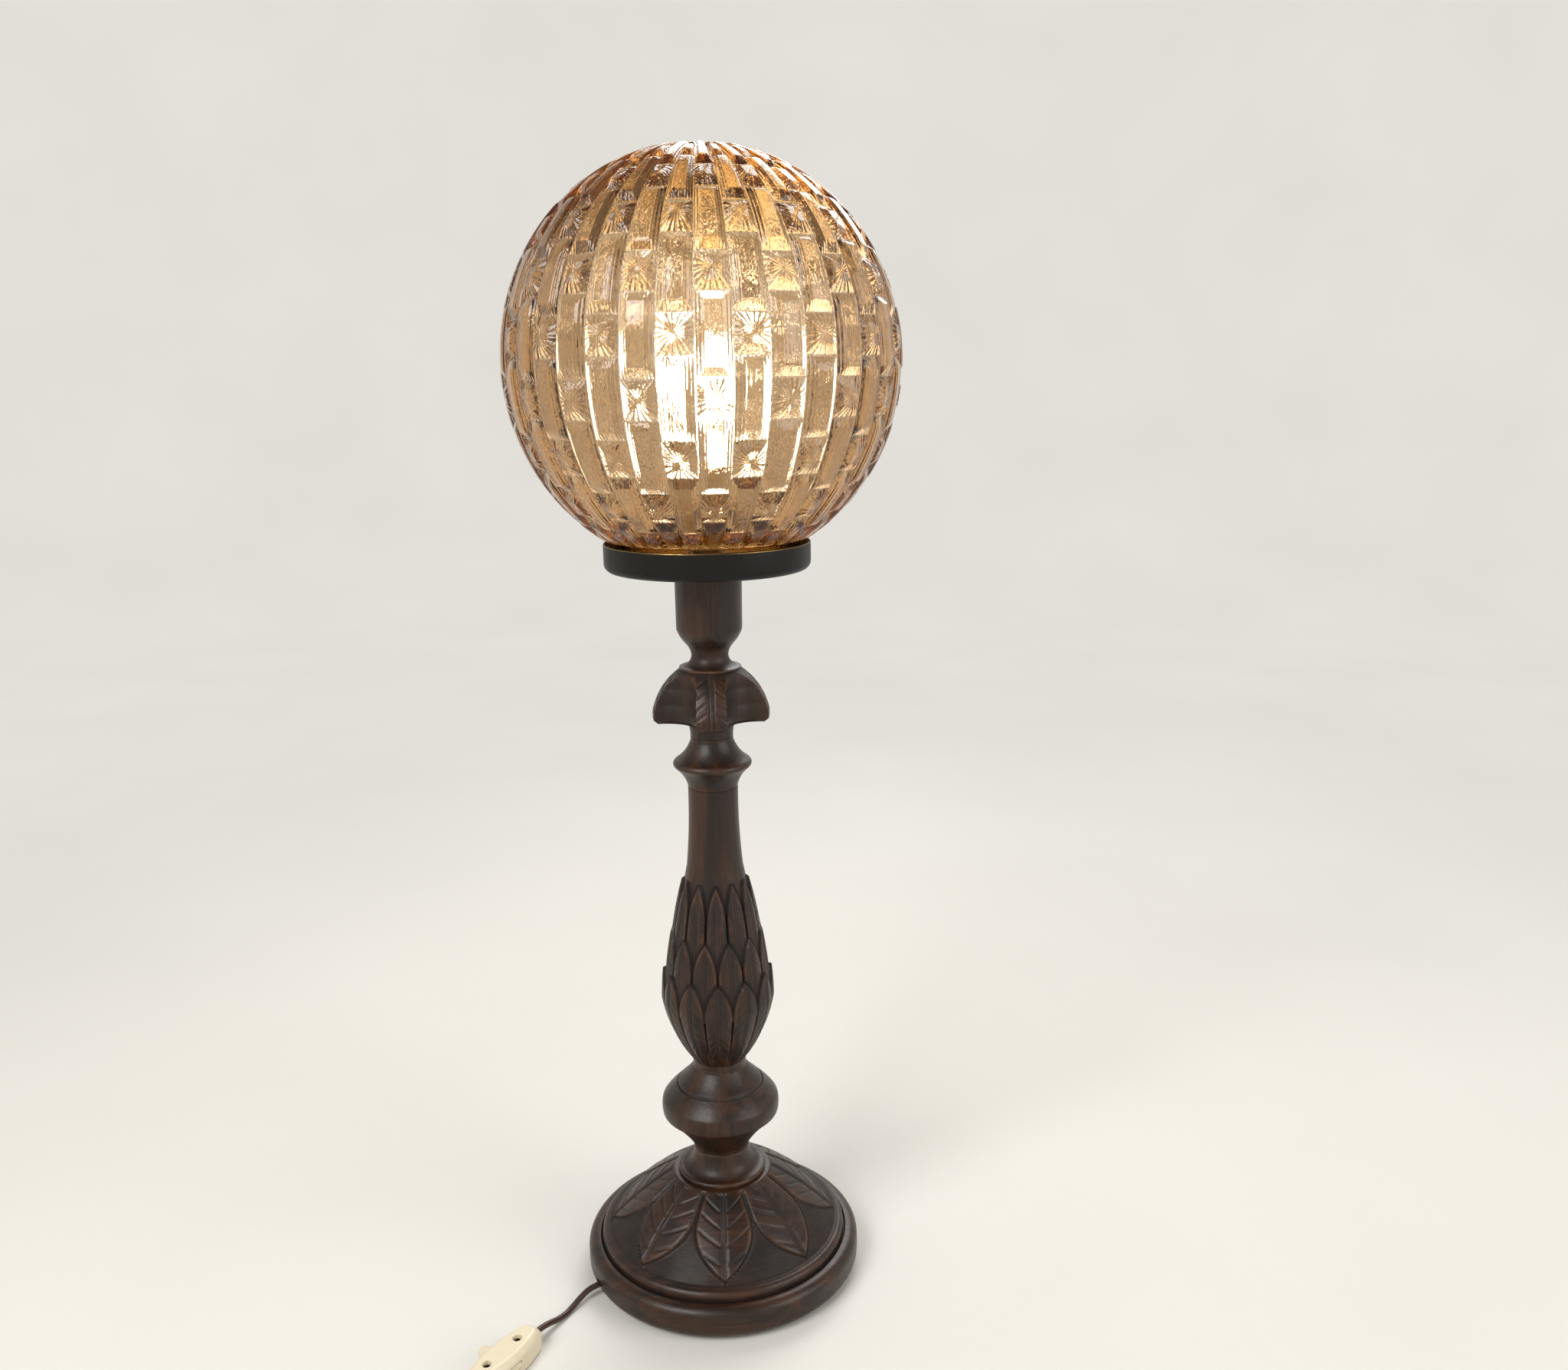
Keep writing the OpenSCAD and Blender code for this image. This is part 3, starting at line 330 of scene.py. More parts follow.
def new_material(name):
    """Empty material: its node tree, and the Object coordinates that its patterns lie on."""
    material = bpy.data.materials.new(name)
    material.use_nodes = True
    material.node_tree.nodes.clear()
    return material.node_tree, add(material.node_tree, "TexCoord").outputs["Object"]


def per_mm(size):
    """Scale of a pattern whose features are `size` millimetres wide, on coordinates in metres."""
    return 1 / (size * MM)


def walnut(name, stretch, tones):
    """Walnut, turned or carved, stained dark and waxed: long soft bands, fine pores along the grain, painted shade in
    the hollows and paler rubbed edges, under a low sheen."""
    tree, place = new_material(name)
    along = add(tree, "Mapping", {"Vector": place, "Scale": stretch})
    # Bands about 9 mm wide, fibres 1.4 mm; pores are drawn at 0.7 mm, coarser than real ones, to show
    band = add(tree, "TexNoise", {"Vector": along, "Scale": per_mm(9), "Detail": 4.0, "Distortion": 0.8})
    fibre = add(tree, "TexNoise", {"Vector": along, "Scale": per_mm(1.4), "Detail": 3.0})
    pore = add(tree, "TexNoise", {"Vector": along, "Scale": per_mm(0.7), "Detail": 1.0})
    warm = add(tree, "MapRange", {"Value": band, "From Min": 0.36, "From Max": 0.68})
    thread = add(tree, "MapRange", {"Value": fibre, "From Min": 0.4, "From Max": 0.75, "To Max": 0.55})
    # Edges are rubbed bare in patches of 16 mm
    hollow, edge = (add(tree, "Attribute", attribute_name=key).outputs["Fac"] for key in ("hollow", "edge"))
    patch = add(tree, "TexNoise", {"Vector": place, "Scale": per_mm(16), "Detail": 3.0})
    rubbed = add(tree, "MapRange", {"Value": patch, "From Min": 0.4, "From Max": 0.7})
    worn = add(tree, "Math", {0: edge, 1: rubbed}, operation="MULTIPLY")
    bare = add(tree, "Math", {0: worn, 1: 0.6}, operation="MULTIPLY")
    # Hollows take the darkest tone at 0.85 of their mark, as painted shade
    painted_shade = add(tree, "Math", {0: hollow, 1: 0.85}, operation="MULTIPLY")
    # Each layer covers its share of the ones before it
    tone = tones.wood_deep
    for cover, layer in ((warm, tones.wood_warm), (thread, tones.wood_fibre_and_shade), (bare, tones.wood_worn),
                         (painted_shade, tones.wood_fibre_and_shade)):
        tone = add(tree, "Mix", {0: cover, 6: tone, 7: layer}, data_type="RGBA")
    matt = add(tree, "MapRange", {"Value": fibre, "To Min": 0.3, "To Max": 0.5})
    gloss = add(tree, "Math", {0: hollow, 1: 0.45, 2: matt}, operation="MULTIPLY_ADD")
    grain = add(tree, "Math", {0: fibre, 1: pore}, operation="ADD")
    bump = add(tree, "Bump", {"Height": grain, "Strength": 0.25, "Distance": 0.3 * MM})
    shader = add(tree, "BsdfPrincipled", {"Base Color": tone, "Roughness": gloss, "Normal": bump,
                                          "Specular IOR Level": 0.36, "Coat Weight": 0.08, "Coat Roughness": 0.2})
    add(tree, "OutputMaterial", {"Surface": shader})


def pressed_glass(name, tones):
    """Soda-lime glass, pressed in an iron mould and fire polished: clear, faintly uneven, amber where it is thick.
    The mould's cutter left fine rays on the square blocks, and streaks and flutes along the bars."""
    tree, place = new_material(name)
    # Chill marks of the mould, about 5 mm across, and grit of 1.6 mm
    wave = add(tree, "TexNoise", {"Vector": place, "Scale": per_mm(5), "Detail": 2.0})
    grit = add(tree, "TexNoise", {"Vector": place, "Scale": per_mm(1.6), "Detail": 1.0})
    matt = add(tree, "MapRange", {"Value": wave, "To Max": 0.03})
    # across and along are 0 in the middle of a block and 1 at its edges; tooled is 1 on squares and 0 on bars
    across, along, tooled = (add(tree, "Attribute", attribute_name=key).outputs["Fac"]
                             for key in ("across", "along", "tooled"))
    # Rays: twenty round a square, about 3.5 mm apart at its edge, sharp, bent by the grit and shallow at its middle
    turn = add(tree, "Math", {0: along, 1: across}, operation="ARCTAN2")
    bent = add(tree, "Math", {0: grit, 1: 0.12, 2: turn}, operation="MULTIPLY_ADD")
    fan = add(tree, "Math", {0: bent, 1: 20 / math.pi}, operation="MULTIPLY")
    ray = add(tree, "Math", {0: fan, 1: 1.0}, operation="PINGPONG")
    off = add(tree, "Math", {0: across, 1: along}, operation="MAXIMUM")
    deep = add(tree, "MapRange", {"Value": off, "From Min": 0.06, "From Max": 0.4, "To Max": 3.0})
    tool = add(tree, "Math", {0: ray, 1: deep}, operation="MULTIPLY")
    # Flutes: five to half a column, about 2.2 mm apart, on the bevels alone
    lines = add(tree, "Math", {0: across, 1: 5 * TAU}, operation="MULTIPLY")
    flute = add(tree, "Math", {0: lines}, operation="SINE")
    bevel = add(tree, "MapRange", {"Value": across, "From Min": 0.36, "From Max": 0.5, "To Max": 0.8})
    fluted = add(tree, "Math", {0: flute, 1: bevel}, operation="MULTIPLY")
    # Streaks 1.2 mm apart and ten times as long on the bars
    drawn = add(tree, "Mapping", {"Vector": place, "Scale": (1.0, 1.0, 0.1)})
    streak = add(tree, "TexNoise", {"Vector": drawn, "Scale": per_mm(1.2), "Detail": 1.0})
    bar = add(tree, "Math", {0: streak, 1: 1.2, 2: fluted}, operation="MULTIPLY_ADD")
    cut = add(tree, "Mix", {0: tooled, 2: bar, 3: tool}, data_type="FLOAT")
    rough = add(tree, "Math", {0: cut, 1: 0.6, 2: wave}, operation="MULTIPLY_ADD")
    bump = add(tree, "Bump", {"Height": rough, "Strength": 0.5, "Distance": 0.4 * MM})
    # The stain is deepest at the crown and the neck, 70 to 128 mm above and below the middle
    height = add(tree, "SeparateXYZ", {0: place}).outputs["Z"]
    middle = add(tree, "Math", {0: height, 1: GLOBE_MIDDLE * MM}, operation="SUBTRACT")
    away = add(tree, "Math", {0: middle}, operation="ABSOLUTE")
    share = add(tree, "MapRange", {"Value": away, "From Min": 70 * MM, "From Max": 128 * MM},
                interpolation_type="SMOOTHSTEP")
    stain = add(tree, "Mix", {0: share, 6: linear("#FFFDF9"), 7: tones.glass_stain}, data_type="RGBA")
    shader = add(tree, "BsdfPrincipled", {"Base Color": stain, "Transmission Weight": 1.0, "IOR": 1.5,
                                          "Roughness": matt, "Normal": bump})
    tint = add(tree, "VolumeAbsorption", {"Color": tones.glass_tint, "Density": 150.0})
    add(tree, "OutputMaterial", {"Surface": shader, "Volume": tint})


def lit_opal(name, tones):
    """Opal bulb glass, blown and coated inside, lit: an even warm white glow under a glossy skin."""
    tree, place = new_material(name)
    cloud = add(tree, "TexNoise", {"Vector": place, "Scale": per_mm(14), "Detail": 2.0})
    matt = add(tree, "MapRange", {"Value": cloud, "To Min": 0.1, "To Max": 0.3})
    shader = add(tree, "BsdfPrincipled", {"Base Color": (0.9, 0.88, 0.84), "Roughness": matt, "IOR": 1.5,
                                          "Emission Color": tones.glow, "Emission Strength": 10.0})
    add(tree, "OutputMaterial", {"Surface": shader})


def plain(name, base, mottle, size, roughness, bump_mm, **sockets):
    """Material whose colour and gloss vary softly over patches of `size` millimetres, with a fine grit on it. Colours
    are hex values or the panel's."""
    tree, place = new_material(name)
    cloud = add(tree, "TexNoise", {"Vector": place, "Scale": per_mm(size), "Detail": 4.0})
    grit = add(tree, "TexNoise", {"Vector": place, "Scale": per_mm(0.8), "Detail": 2.0})
    base = linear(base) if isinstance(base, str) else base
    tone = add(tree, "Mix", {0: cloud, 6: base, 7: linear(mottle)}, data_type="RGBA")
    matt = add(tree, "MapRange", {"Value": cloud, "From Min": 0.3, "From Max": 0.7, "To Min": roughness[0],
                                  "To Max": roughness[1]})
    bump = add(tree, "Bump", {"Height": grit, "Strength": 0.3, "Distance": bump_mm * MM})
    shader = add(tree, "BsdfPrincipled", {"Base Color": tone, "Roughness": matt, "Normal": bump,
                                          **{key.replace("_", " "): value for key, value in sockets.items()}})
    add(tree, "OutputMaterial", {"Surface": shader})


# Finish of each slot: the materials by their common names
SLOT_FINISH = {
    "wood": "Walnut, upright", "felt": "Wool felt, pressed", "black_metal": "Spun steel, black satin enamel",
    "steel": "Steel, zinc plated", "seat_rubber": "Silicone rubber, moulded", "amber_glass": "Amber glass, pressed",
    "opal_glass": "Opal glass, lit", "ceramic": "Steatite, glazed", "brass": "Brass, drawn",
    "aluminium": "Aluminium, rolled thin", "black_plastic": "Phenolic, moulded black",
    "ivory_plastic": "Urea resin, moulded ivory", "brown_plastic": "PVC, extruded brown",
}


class LAMP_OT_finishes(bpy.types.Operator):
    """Makes the materials and gives them to the CAD pieces that stay in view"""
    bl_idname = "lamp.finishes"
    bl_label = "Finishes"

    def execute(self, context):
        tones = context.scene.lamp_finishes
        # Grain runs up the stand, and across the wide foot
        walnut("Walnut, upright", (1.0, 1.0, 0.07), tones)
        walnut("Walnut, level", (0.07, 1.0, 1.0), tones)
        pressed_glass("Amber glass, pressed", tones)
        lit_opal("Opal glass, lit", tones)
        # Felt: short matted fibres that take the light softly
        plain("Wool felt, pressed", tones.felt_green, "#3E4636", 2.5, (0.9, 1.0), 0.5, Sheen_Weight=0.4)
        # Enamel over spun steel: near black, a soft sheen with the faintest orange peel
        plain("Spun steel, black satin enamel", tones.metal_black, "#1A1713", 22, (0.36, 0.5), 0.06,
              Specular_IOR_Level=0.2)
        # Zinc: cool grey, small spangle
        plain("Steel, zinc plated", "#A9ABAC", "#8C8F92", 3, (0.28, 0.42), 0.05, Metallic=1.0)
        # Steel darkened on the screws of the switch, which sit deep in their wells: painted shade
        plain("Steel, darkened for painted shade", "#43342A", "#2C211A", 3, (0.36, 0.5), 0.05, Metallic=1.0)
        # Silicone: dull, slightly clouded grey
        plain("Silicone rubber, moulded", "#35332F", "#45423D", 8, (0.6, 0.75), 0.1)
        # Steatite: dense white body under a clear glaze
        plain("Steatite, glazed", "#E4E0D5", "#D5CFC1", 6, (0.15, 0.3), 0.05)
        # Brass: warm yellow metal with faint tarnish
        plain("Brass, drawn", "#C9A45A", "#9C7A3C", 5, (0.22, 0.4), 0.05, Metallic=1.0)
        # Aluminium: thin bright sheet
        plain("Aluminium, rolled thin", "#C4C6C8", "#A8AAAD", 4, (0.25, 0.4), 0.05, Metallic=1.0)
        # Phenolic: hard, black, glossy from the mould
        plain("Phenolic, moulded black", "#151413", "#211F1D", 9, (0.22, 0.36), 0.05)
        # Urea resin: warm ivory, a little yellowed, smooth from the mould
        plain("Urea resin, moulded ivory", tones.ivory, "#DDCDAE", 14, (0.26, 0.4), 0.06, IOR=1.54)
        # PVC: dark brown, dull gloss, faint rubbing
        plain("PVC, extruded brown", tones.cord_brown, "#412619", 7, (0.32, 0.5), 0.12)
        for row in frame["record"]["subparts"]:
            obj = frame["nodes"].get(row["node"])
            if obj is not None:
                obj.data.materials.clear()
                obj.data.materials.append(bpy.data.materials[SLOT_FINISH[row["material_slot"]]])
        return {"FINISHED"}


# ---------------------------------------------------------------- stand


class LAMP_OT_foot(bpy.types.Operator):
    """Foot: a rounded rim, a groove, and a dome cut with eight pointed leaves"""
    bl_idname = "lamp.foot"
    bl_label = "Foot"

    def bore(self, context, obj):
        """Cuts the hole for the cord's bush through the rim: a rod along the cord's way out, taken off the wood."""
        low, high = corners("cord_bush")[:, 2]
        start, end, play, a = 25, 105, 0.05, angles(48)
        along = np.array([start, start, end, end])[:, None]
        wide = np.array([0, 1, 1, 0])[:, None] * ((high - low) / 2 + play)
        rod = skin("rod", turned_place(along, wide * np.cos(a), (low + high) / 2 + wide * np.sin(a), (0, 0), EXIT_TURN))
        cut = obj.modifiers.new("bore", "BOOLEAN")
        cut.operation, cut.solver, cut.object = "DIFFERENCE", "EXACT", rod
        bored = bpy.data.meshes.new_from_object(obj.evaluated_get(context.evaluated_depsgraph_get()))
        obj.modifiers.remove(cut)
        whole, obj.data = obj.data, bored
        bored.set_sharp_from_angle(angle=math.radians(30))
        bpy.data.objects.remove(rod)
        bpy.data.meshes.remove(whole)

    def execute(self, context):
        low, top, out = TOP["foot_felt"], TOP["foot"], corners("foot")[1, 0]
        rim, dome, seat, columns, count = low + 22, out - 10, 34, 448, 8
        brow = dome - 4.5
        slope = bow((brow, rim + 6.8), (seat, top), 2.2, 104)
        run = outline(quarter((out - 7, low), (out, low + 7), True), quarter((out, rim - 7), (out - 7, rim), False),
                      [(dome + 1.6, rim), (dome + 0.8, rim - 1.5), (dome, rim - 1.5)],
                      quarter((dome, rim + 2), (dome - 4, rim + 6.5), False), slope)
        points = outline(run, [(10.2, top), (10.2, top - 6.5), (BORE, top - 6.5), (BORE, 45), (30, 45), (30, low)])
        # t runs up the dome from brow to seat; across is -1 to 1 over one leaf
        r, row = points[:, :1], np.arange(len(points))[:, None]
        on_dome = (row >= len(run) - len(slope)) & (row < len(run))
        t = np.clip((brow - r) / (brow - seat), 0, 1)
        across = (angles(columns) / TAU * count + 0.5) % 1 * 2 - 1
        half = math.pi * r / count
        # A leaf's half width grows as 1 - (1 - s)^2 from its tip near the brow to the middle of the dome
        s = np.clip((t - 0.05) / 0.62, 0, 1)
        inside = (0.965 * (1 - (1 - s) ** 2) - np.abs(across)) * half
        side = np.abs(across) * half
        # Cut edges, sunk ground between the leaves, two grooves beside the midrib, and veins
        rib = bell(side, 1.3, 0.8) * smooth(inside / 3)
        vein = crests(t * 5.5 - np.abs(across) * 1.25, 6) * smooth(inside / 4) * smooth(side / 4)
        deep = np.maximum.reduce([bell(inside, 0, 1.1), 0.75 * smooth(-inside / 2.2), 0.5 * rib, 0.32 * vein])
        ends = np.where(on_dome, smooth(t / 0.03) * smooth((1 - t) / 0.05), 0)
        [depth] = in_mm(context, "foot_carving")
        wear_and_shade = wear_and_shade_of(points)
        # The carving's sunk ground, grooves and veins get the hollow mark, painted as shade; the leaves' cut edges get
        # the mark for worn edges
        marks = {"hollow": np.clip(wear_and_shade["hollow"] + 0.9 * ends * deep, 0, 1),
                 "edge": np.clip(wear_and_shade["edge"] + 0.8 * ends * bell(inside, 2.2, 1.2), 0, 1)}
        obj = skin("foot_carved", lathe(points, columns, -depth * ends * deep), marks, rows_closed=True)
        self.bore(context, obj)
        dress(obj, "stand", "wood", "foot", finish="Walnut, level")
        return {"FINISHED"}


class LAMP_OT_turnings(bpy.types.Operator):
    """Turned pieces of the stand: spool, knop, neck ring and candle cup"""
    bl_idname = "lamp.turnings"
    bl_label = "Turned pieces"

    def execute(self, context):
        [ease] = in_mm(context, "turned_edge")
        z, end = TOP["foot"], TOP["spool"]
        turned("spool", 160, ease, [(31, z)], quarter((31, z + 1.5), (29, z + 3.5), False),
               quarter((28.5, z + 3.5), (19.7, end - 2), True, 14), [(19.7, end)])
        z, end = TOP["spool"], TOP["knop"]
        groove = z + 49.45
        turned("knop", 192, ease, [(19.7, z)], bow((20.1, z + 3), (40.6, z + 27), -1.2, 16),
               bow((40.6, z + 27), (40.8, z + 37), 0.6, 8), [(40.4, z + 38)],
               bow((40.2, z + 38.4), (31.2, groove - 1.3), 0.4, 6),
               [(30.9, groove - 0.99), (30, groove - 1.7), (29.1, groove + 0.99)],
               bow((29, groove + 1.1), (18.6, end - 2), -0.5, 8), [(18.6, end)])
        z, end = TOP["vase"], TOP["neck_ring"]
        turned("neck_ring", 160, ease, [(16.8, z)], bow((16.8, z + 1.5), (25.2, z + 14.2), -1.2),
               bow((25.2, z + 14.2), (25.2, z + 18.8), 1.2, 8), bow((25.2, z + 18.8), (14.3, end - 2), -1.6),
               [(14.3, end)])
        z, end = TOP["leaf_collar"], TOP["candle_cup"]
        turned("candle_cup", 160, ease, [(20.5, z), (20.5, z + 1.5)], quarter((20, z + 1.8), (12.2, z + 9.5), True),
               bow((12.2, z + 9.5), (15.5, z + 16.7), -0.6, 8), [(16.6, z + 17.9)],
               bow((16.7, z + 18.1), (21.6, z + 26.5), 0.5, 8), [(21.7, z + 29)],
               bow((21.9, z + 58), (22.6, end), -0.2, 6))
        return {"FINISHED"}


class LAMP_OT_vase(bpy.types.Operator):
    """Vase and column: three ranks of twelve pointed leaves, each over the one above it"""
    bl_idname = "lamp.vase"
    bl_label = "Vase"

    def execute(self, context):
        z, end, columns, count = TOP["knop"], TOP["vase"], 384, 12
        crown, seam, point = in_mm(context, "leaf_crown", "leaf_seam", "leaf_point")
        core = outline([(18.6, z)], bow((18.6, z + 4), (36, z + 51), 3), bow((36, z + 51), (19.2, z + 146.5), 0.5),
                       bow((19.2, z + 146.5), (16.8, end - 9), -0.6), [(16.8, end)])
        # Face of each rank, top rank first, and its turn in leaves
        ranks = ((bow((33, z + 72.5), (22.3, z + 138.5), 1.9), 0.0), (bow((37.2, z + 46), (31.2, z + 100.5), 1.6), 0.5),
                 (outline(bow((18.9, z + 5), (39, z + 51), 3.2), bow((39, z + 51), (37.4, z + 73), 0.3)), 0.0))
        height = np.r_[z, np.arange(z + 3.5, z + 146, 0.68), np.linspace(z + 146.5, end, 26)][:, None]
        angle = angles(columns)
        radius = np.interp(height, core[:, 1], core[:, 0]) + 0 * angle
        hollow, edge = np.zeros_like(radius), np.zeros_like(radius)
        for face, turn in ranks:
            low, tip = face[0], face[-1]
            pitch = TAU * tip[0] / count
            reach = (pitch ** 2 / 4 + point ** 2) / pitch
            across = (angle / TAU * count + turn + 0.5) % 1 * 2 - 1
            # Distance in from a leaf's edge: half the pitch, less the bite of an arc that meets the next at the tip
            bite = reach - np.sqrt(reach ** 2 - np.clip(height - tip[1] + point, 0, point) ** 2)
            inside = (1 - np.abs(across)) * pitch / 2 - bite
            below = (height < tip[1]) & (height > low[1])
            side = np.abs(across) * pitch / 2
            rib = bell(side, 0.9, 0.6) * smooth(inside / 2.5)
            vein = crests(height / 7.5 + side / 6, 5) * smooth(inside / 3) * smooth(side / 2.5)
            leaf = np.interp(height, face[:, 1], face[:, 0]) + crown * (0.25 - across ** 2) - 0.45 * rib - 0.28 * vein
            radius = radius + np.where(below, smooth(inside / seam), 0) * np.maximum(leaf - radius, 0)
            # Painted shade lies along a leaf's edge, beside its rib and in its veins, and round the leaf on what lies
            # behind it
            on_leaf, behind = below & (inside > 0), below & (inside <= 0)
            hollow = np.where(on_leaf, np.maximum(bell(inside, 0, 1.3) * (inside < 0.8), 0.5 * rib + 0.3 * vein),
                              np.maximum(hollow, np.where(behind, bell(inside, 0, 3.0), 0)))
            edge = np.where(on_leaf, bell(inside, 1.5, 0.9), edge * (inside <= 0))
        bore = lathe(np.array([(BORE, end), (BORE, z)]), columns)
        marks = {key: np.vstack([np.clip(values, 0, 1), np.zeros((len(bore), columns))])
                 for key, values in (("hollow", hollow), ("edge", edge))}
        obj = skin("vase_carved", np.concatenate([spun(radius, angle, height), bore]), marks, rows_closed=True)
        dress(obj, "stand", "wood", "vase")
        return {"FINISHED"}


class LAMP_OT_collar(bpy.types.Operator):
    """Leaf collar: a bell whose edge is cut into four drooping leaves, each with a rib and veins"""
    bl_idname = "lamp.collar"
    bl_label = "Leaf collar"

    def execute(self, context):
        z, end, out, columns = TOP["neck_ring"], TOP["leaf_collar"], corners("leaf_collar")[1, 0], 360
        under = outline([(14.3, z), (14.3, z + 3)], bow((16, z + 12.5), (out - 2.4, z + 11), -1, 14))
        over = outline(bow((out - 0.3, z + 12.5), (out, z + 18), 0.3, 6), bow((out, z + 18.5), (20.5, end), 3.1, 44))
        points = outline(under, over, [(BORE, end), (BORE, z)])
        r, row = points[:, :1], np.arange(len(points))[:, None]
        # off is the angle from the nearest leaf; a round cutter on each diagonal leaves the leaves between
        off = (angles(columns) + TAU / 8) % (TAU / 4) - TAU / 8
        gap = TAU / 8 - np.abs(off)
        # The cutter leaves 22 mm of core and leaves 20 mm wide at their tips; it scallops their sides by 0.8 mm
        core, wide = 22.0, TAU / 8 - math.asin(10 / out)
        cutter = (out ** 2 - core ** 2) / (2 * (out * math.cos(wide) - core))
        t = np.clip((points[:, 1:] - z - 12.5) / (end - z - 12.5), 0, 1)
        reach = cutter - core - 0.8 * np.abs(np.sin(3 * math.pi * t))
        left = np.clip(reach ** 2 - (cutter * np.sin(gap)) ** 2, 0, None)
        bound = np.where(left > 0, cutter * np.cos(gap) - np.sqrt(left), out + 5)
        radius = np.minimum(r, bound)
        # Two grooves beside the midrib, and veins, on the upper side of the leaves
        side, edge_in = np.abs(radius * np.sin(off)), bound - radius
        shown = (row >= len(under)) & (row < len(under) + len(over) - 2) & (r < bound + 1e-6)
        rib = bell(side, 1.6, 0.8) * smooth(side / 1.0)
        vein = crests(t * 5 + side / 9, 5) * smooth((side - 2) / 2) * smooth(edge_in / 4)
        deep = smooth((1 - t) / 0.2) * (0.8 * rib + 0.5 * vein)
        # Painted shade in the grooves and veins, on the faces cut between the leaves, and where the collar meets the
        # cup
        hollow = np.clip(np.where(shown, deep, np.where(r > bound, 0.35, 0)), 0, 1)
        marks = {"hollow": np.maximum(hollow, smooth((t - 0.86) / 0.14) * 0.7),
                 "edge": np.where(shown, bell(edge_in, 1.2, 1.2), 0)}
        grid = lathe(points, columns, np.where(shown, -deep, 0), radius)
        dress(skin("leaf_collar_carved", grid, marks, rows_closed=True), "stand", "wood", "leaf_collar")
        return {"FINISHED"}


class LAMP_OT_gallery(bpy.types.Operator):
    """Gallery: a spun pan of black sheet metal with a rounded edge below and a rolled lip above"""
    bl_idname = "lamp.gallery"
    bl_label = "Gallery"

    def execute(self, context):
        z, end, out, wall = TOP["candle_cup"], TOP["gallery"], corners("gallery")[1, 0], 1.2
        points = outline([(BORE, z)], quarter((out - 5, z), (out, z + 5), True), [(out, end - 0.6), (out - 0.6, end)],
                         [(out - wall, end)], quarter((out - 5, z + wall), (out - wall, z + 5), True)[::-1],
                         [(BORE, z + wall)])
        obj = skin("gallery_spun", lathe(eased(points, 0.4), 192), rows_closed=True)
        dress(obj, "stand", "black_metal", "gallery")
        # The inside of the pan is left bare: faces below the lip that look up or to the axis
        obj.data.materials.append(bpy.data.materials["Brass, drawn"])
        middle, facing = (np.empty(len(obj.data.polygons) * 3) for _ in range(2))
        obj.data.polygons.foreach_get("center", middle)
        obj.data.polygons.foreach_get("normal", facing)
        middle, facing = middle.reshape(-1, 3), facing.reshape(-1, 3)
        inward = (middle[:, :2] * facing[:, :2]).sum(1) / np.hypot(*middle[:, :2].T)
        inside = ((inward < -0.1) | (facing[:, 2] > 0.3)) & (middle[:, 2] / MM < end - 0.5)
        obj.data.polygons.foreach_set("material_index", inside.astype(np.int32))
        return {"FINISHED"}


# ---------------------------------------------------------------- light


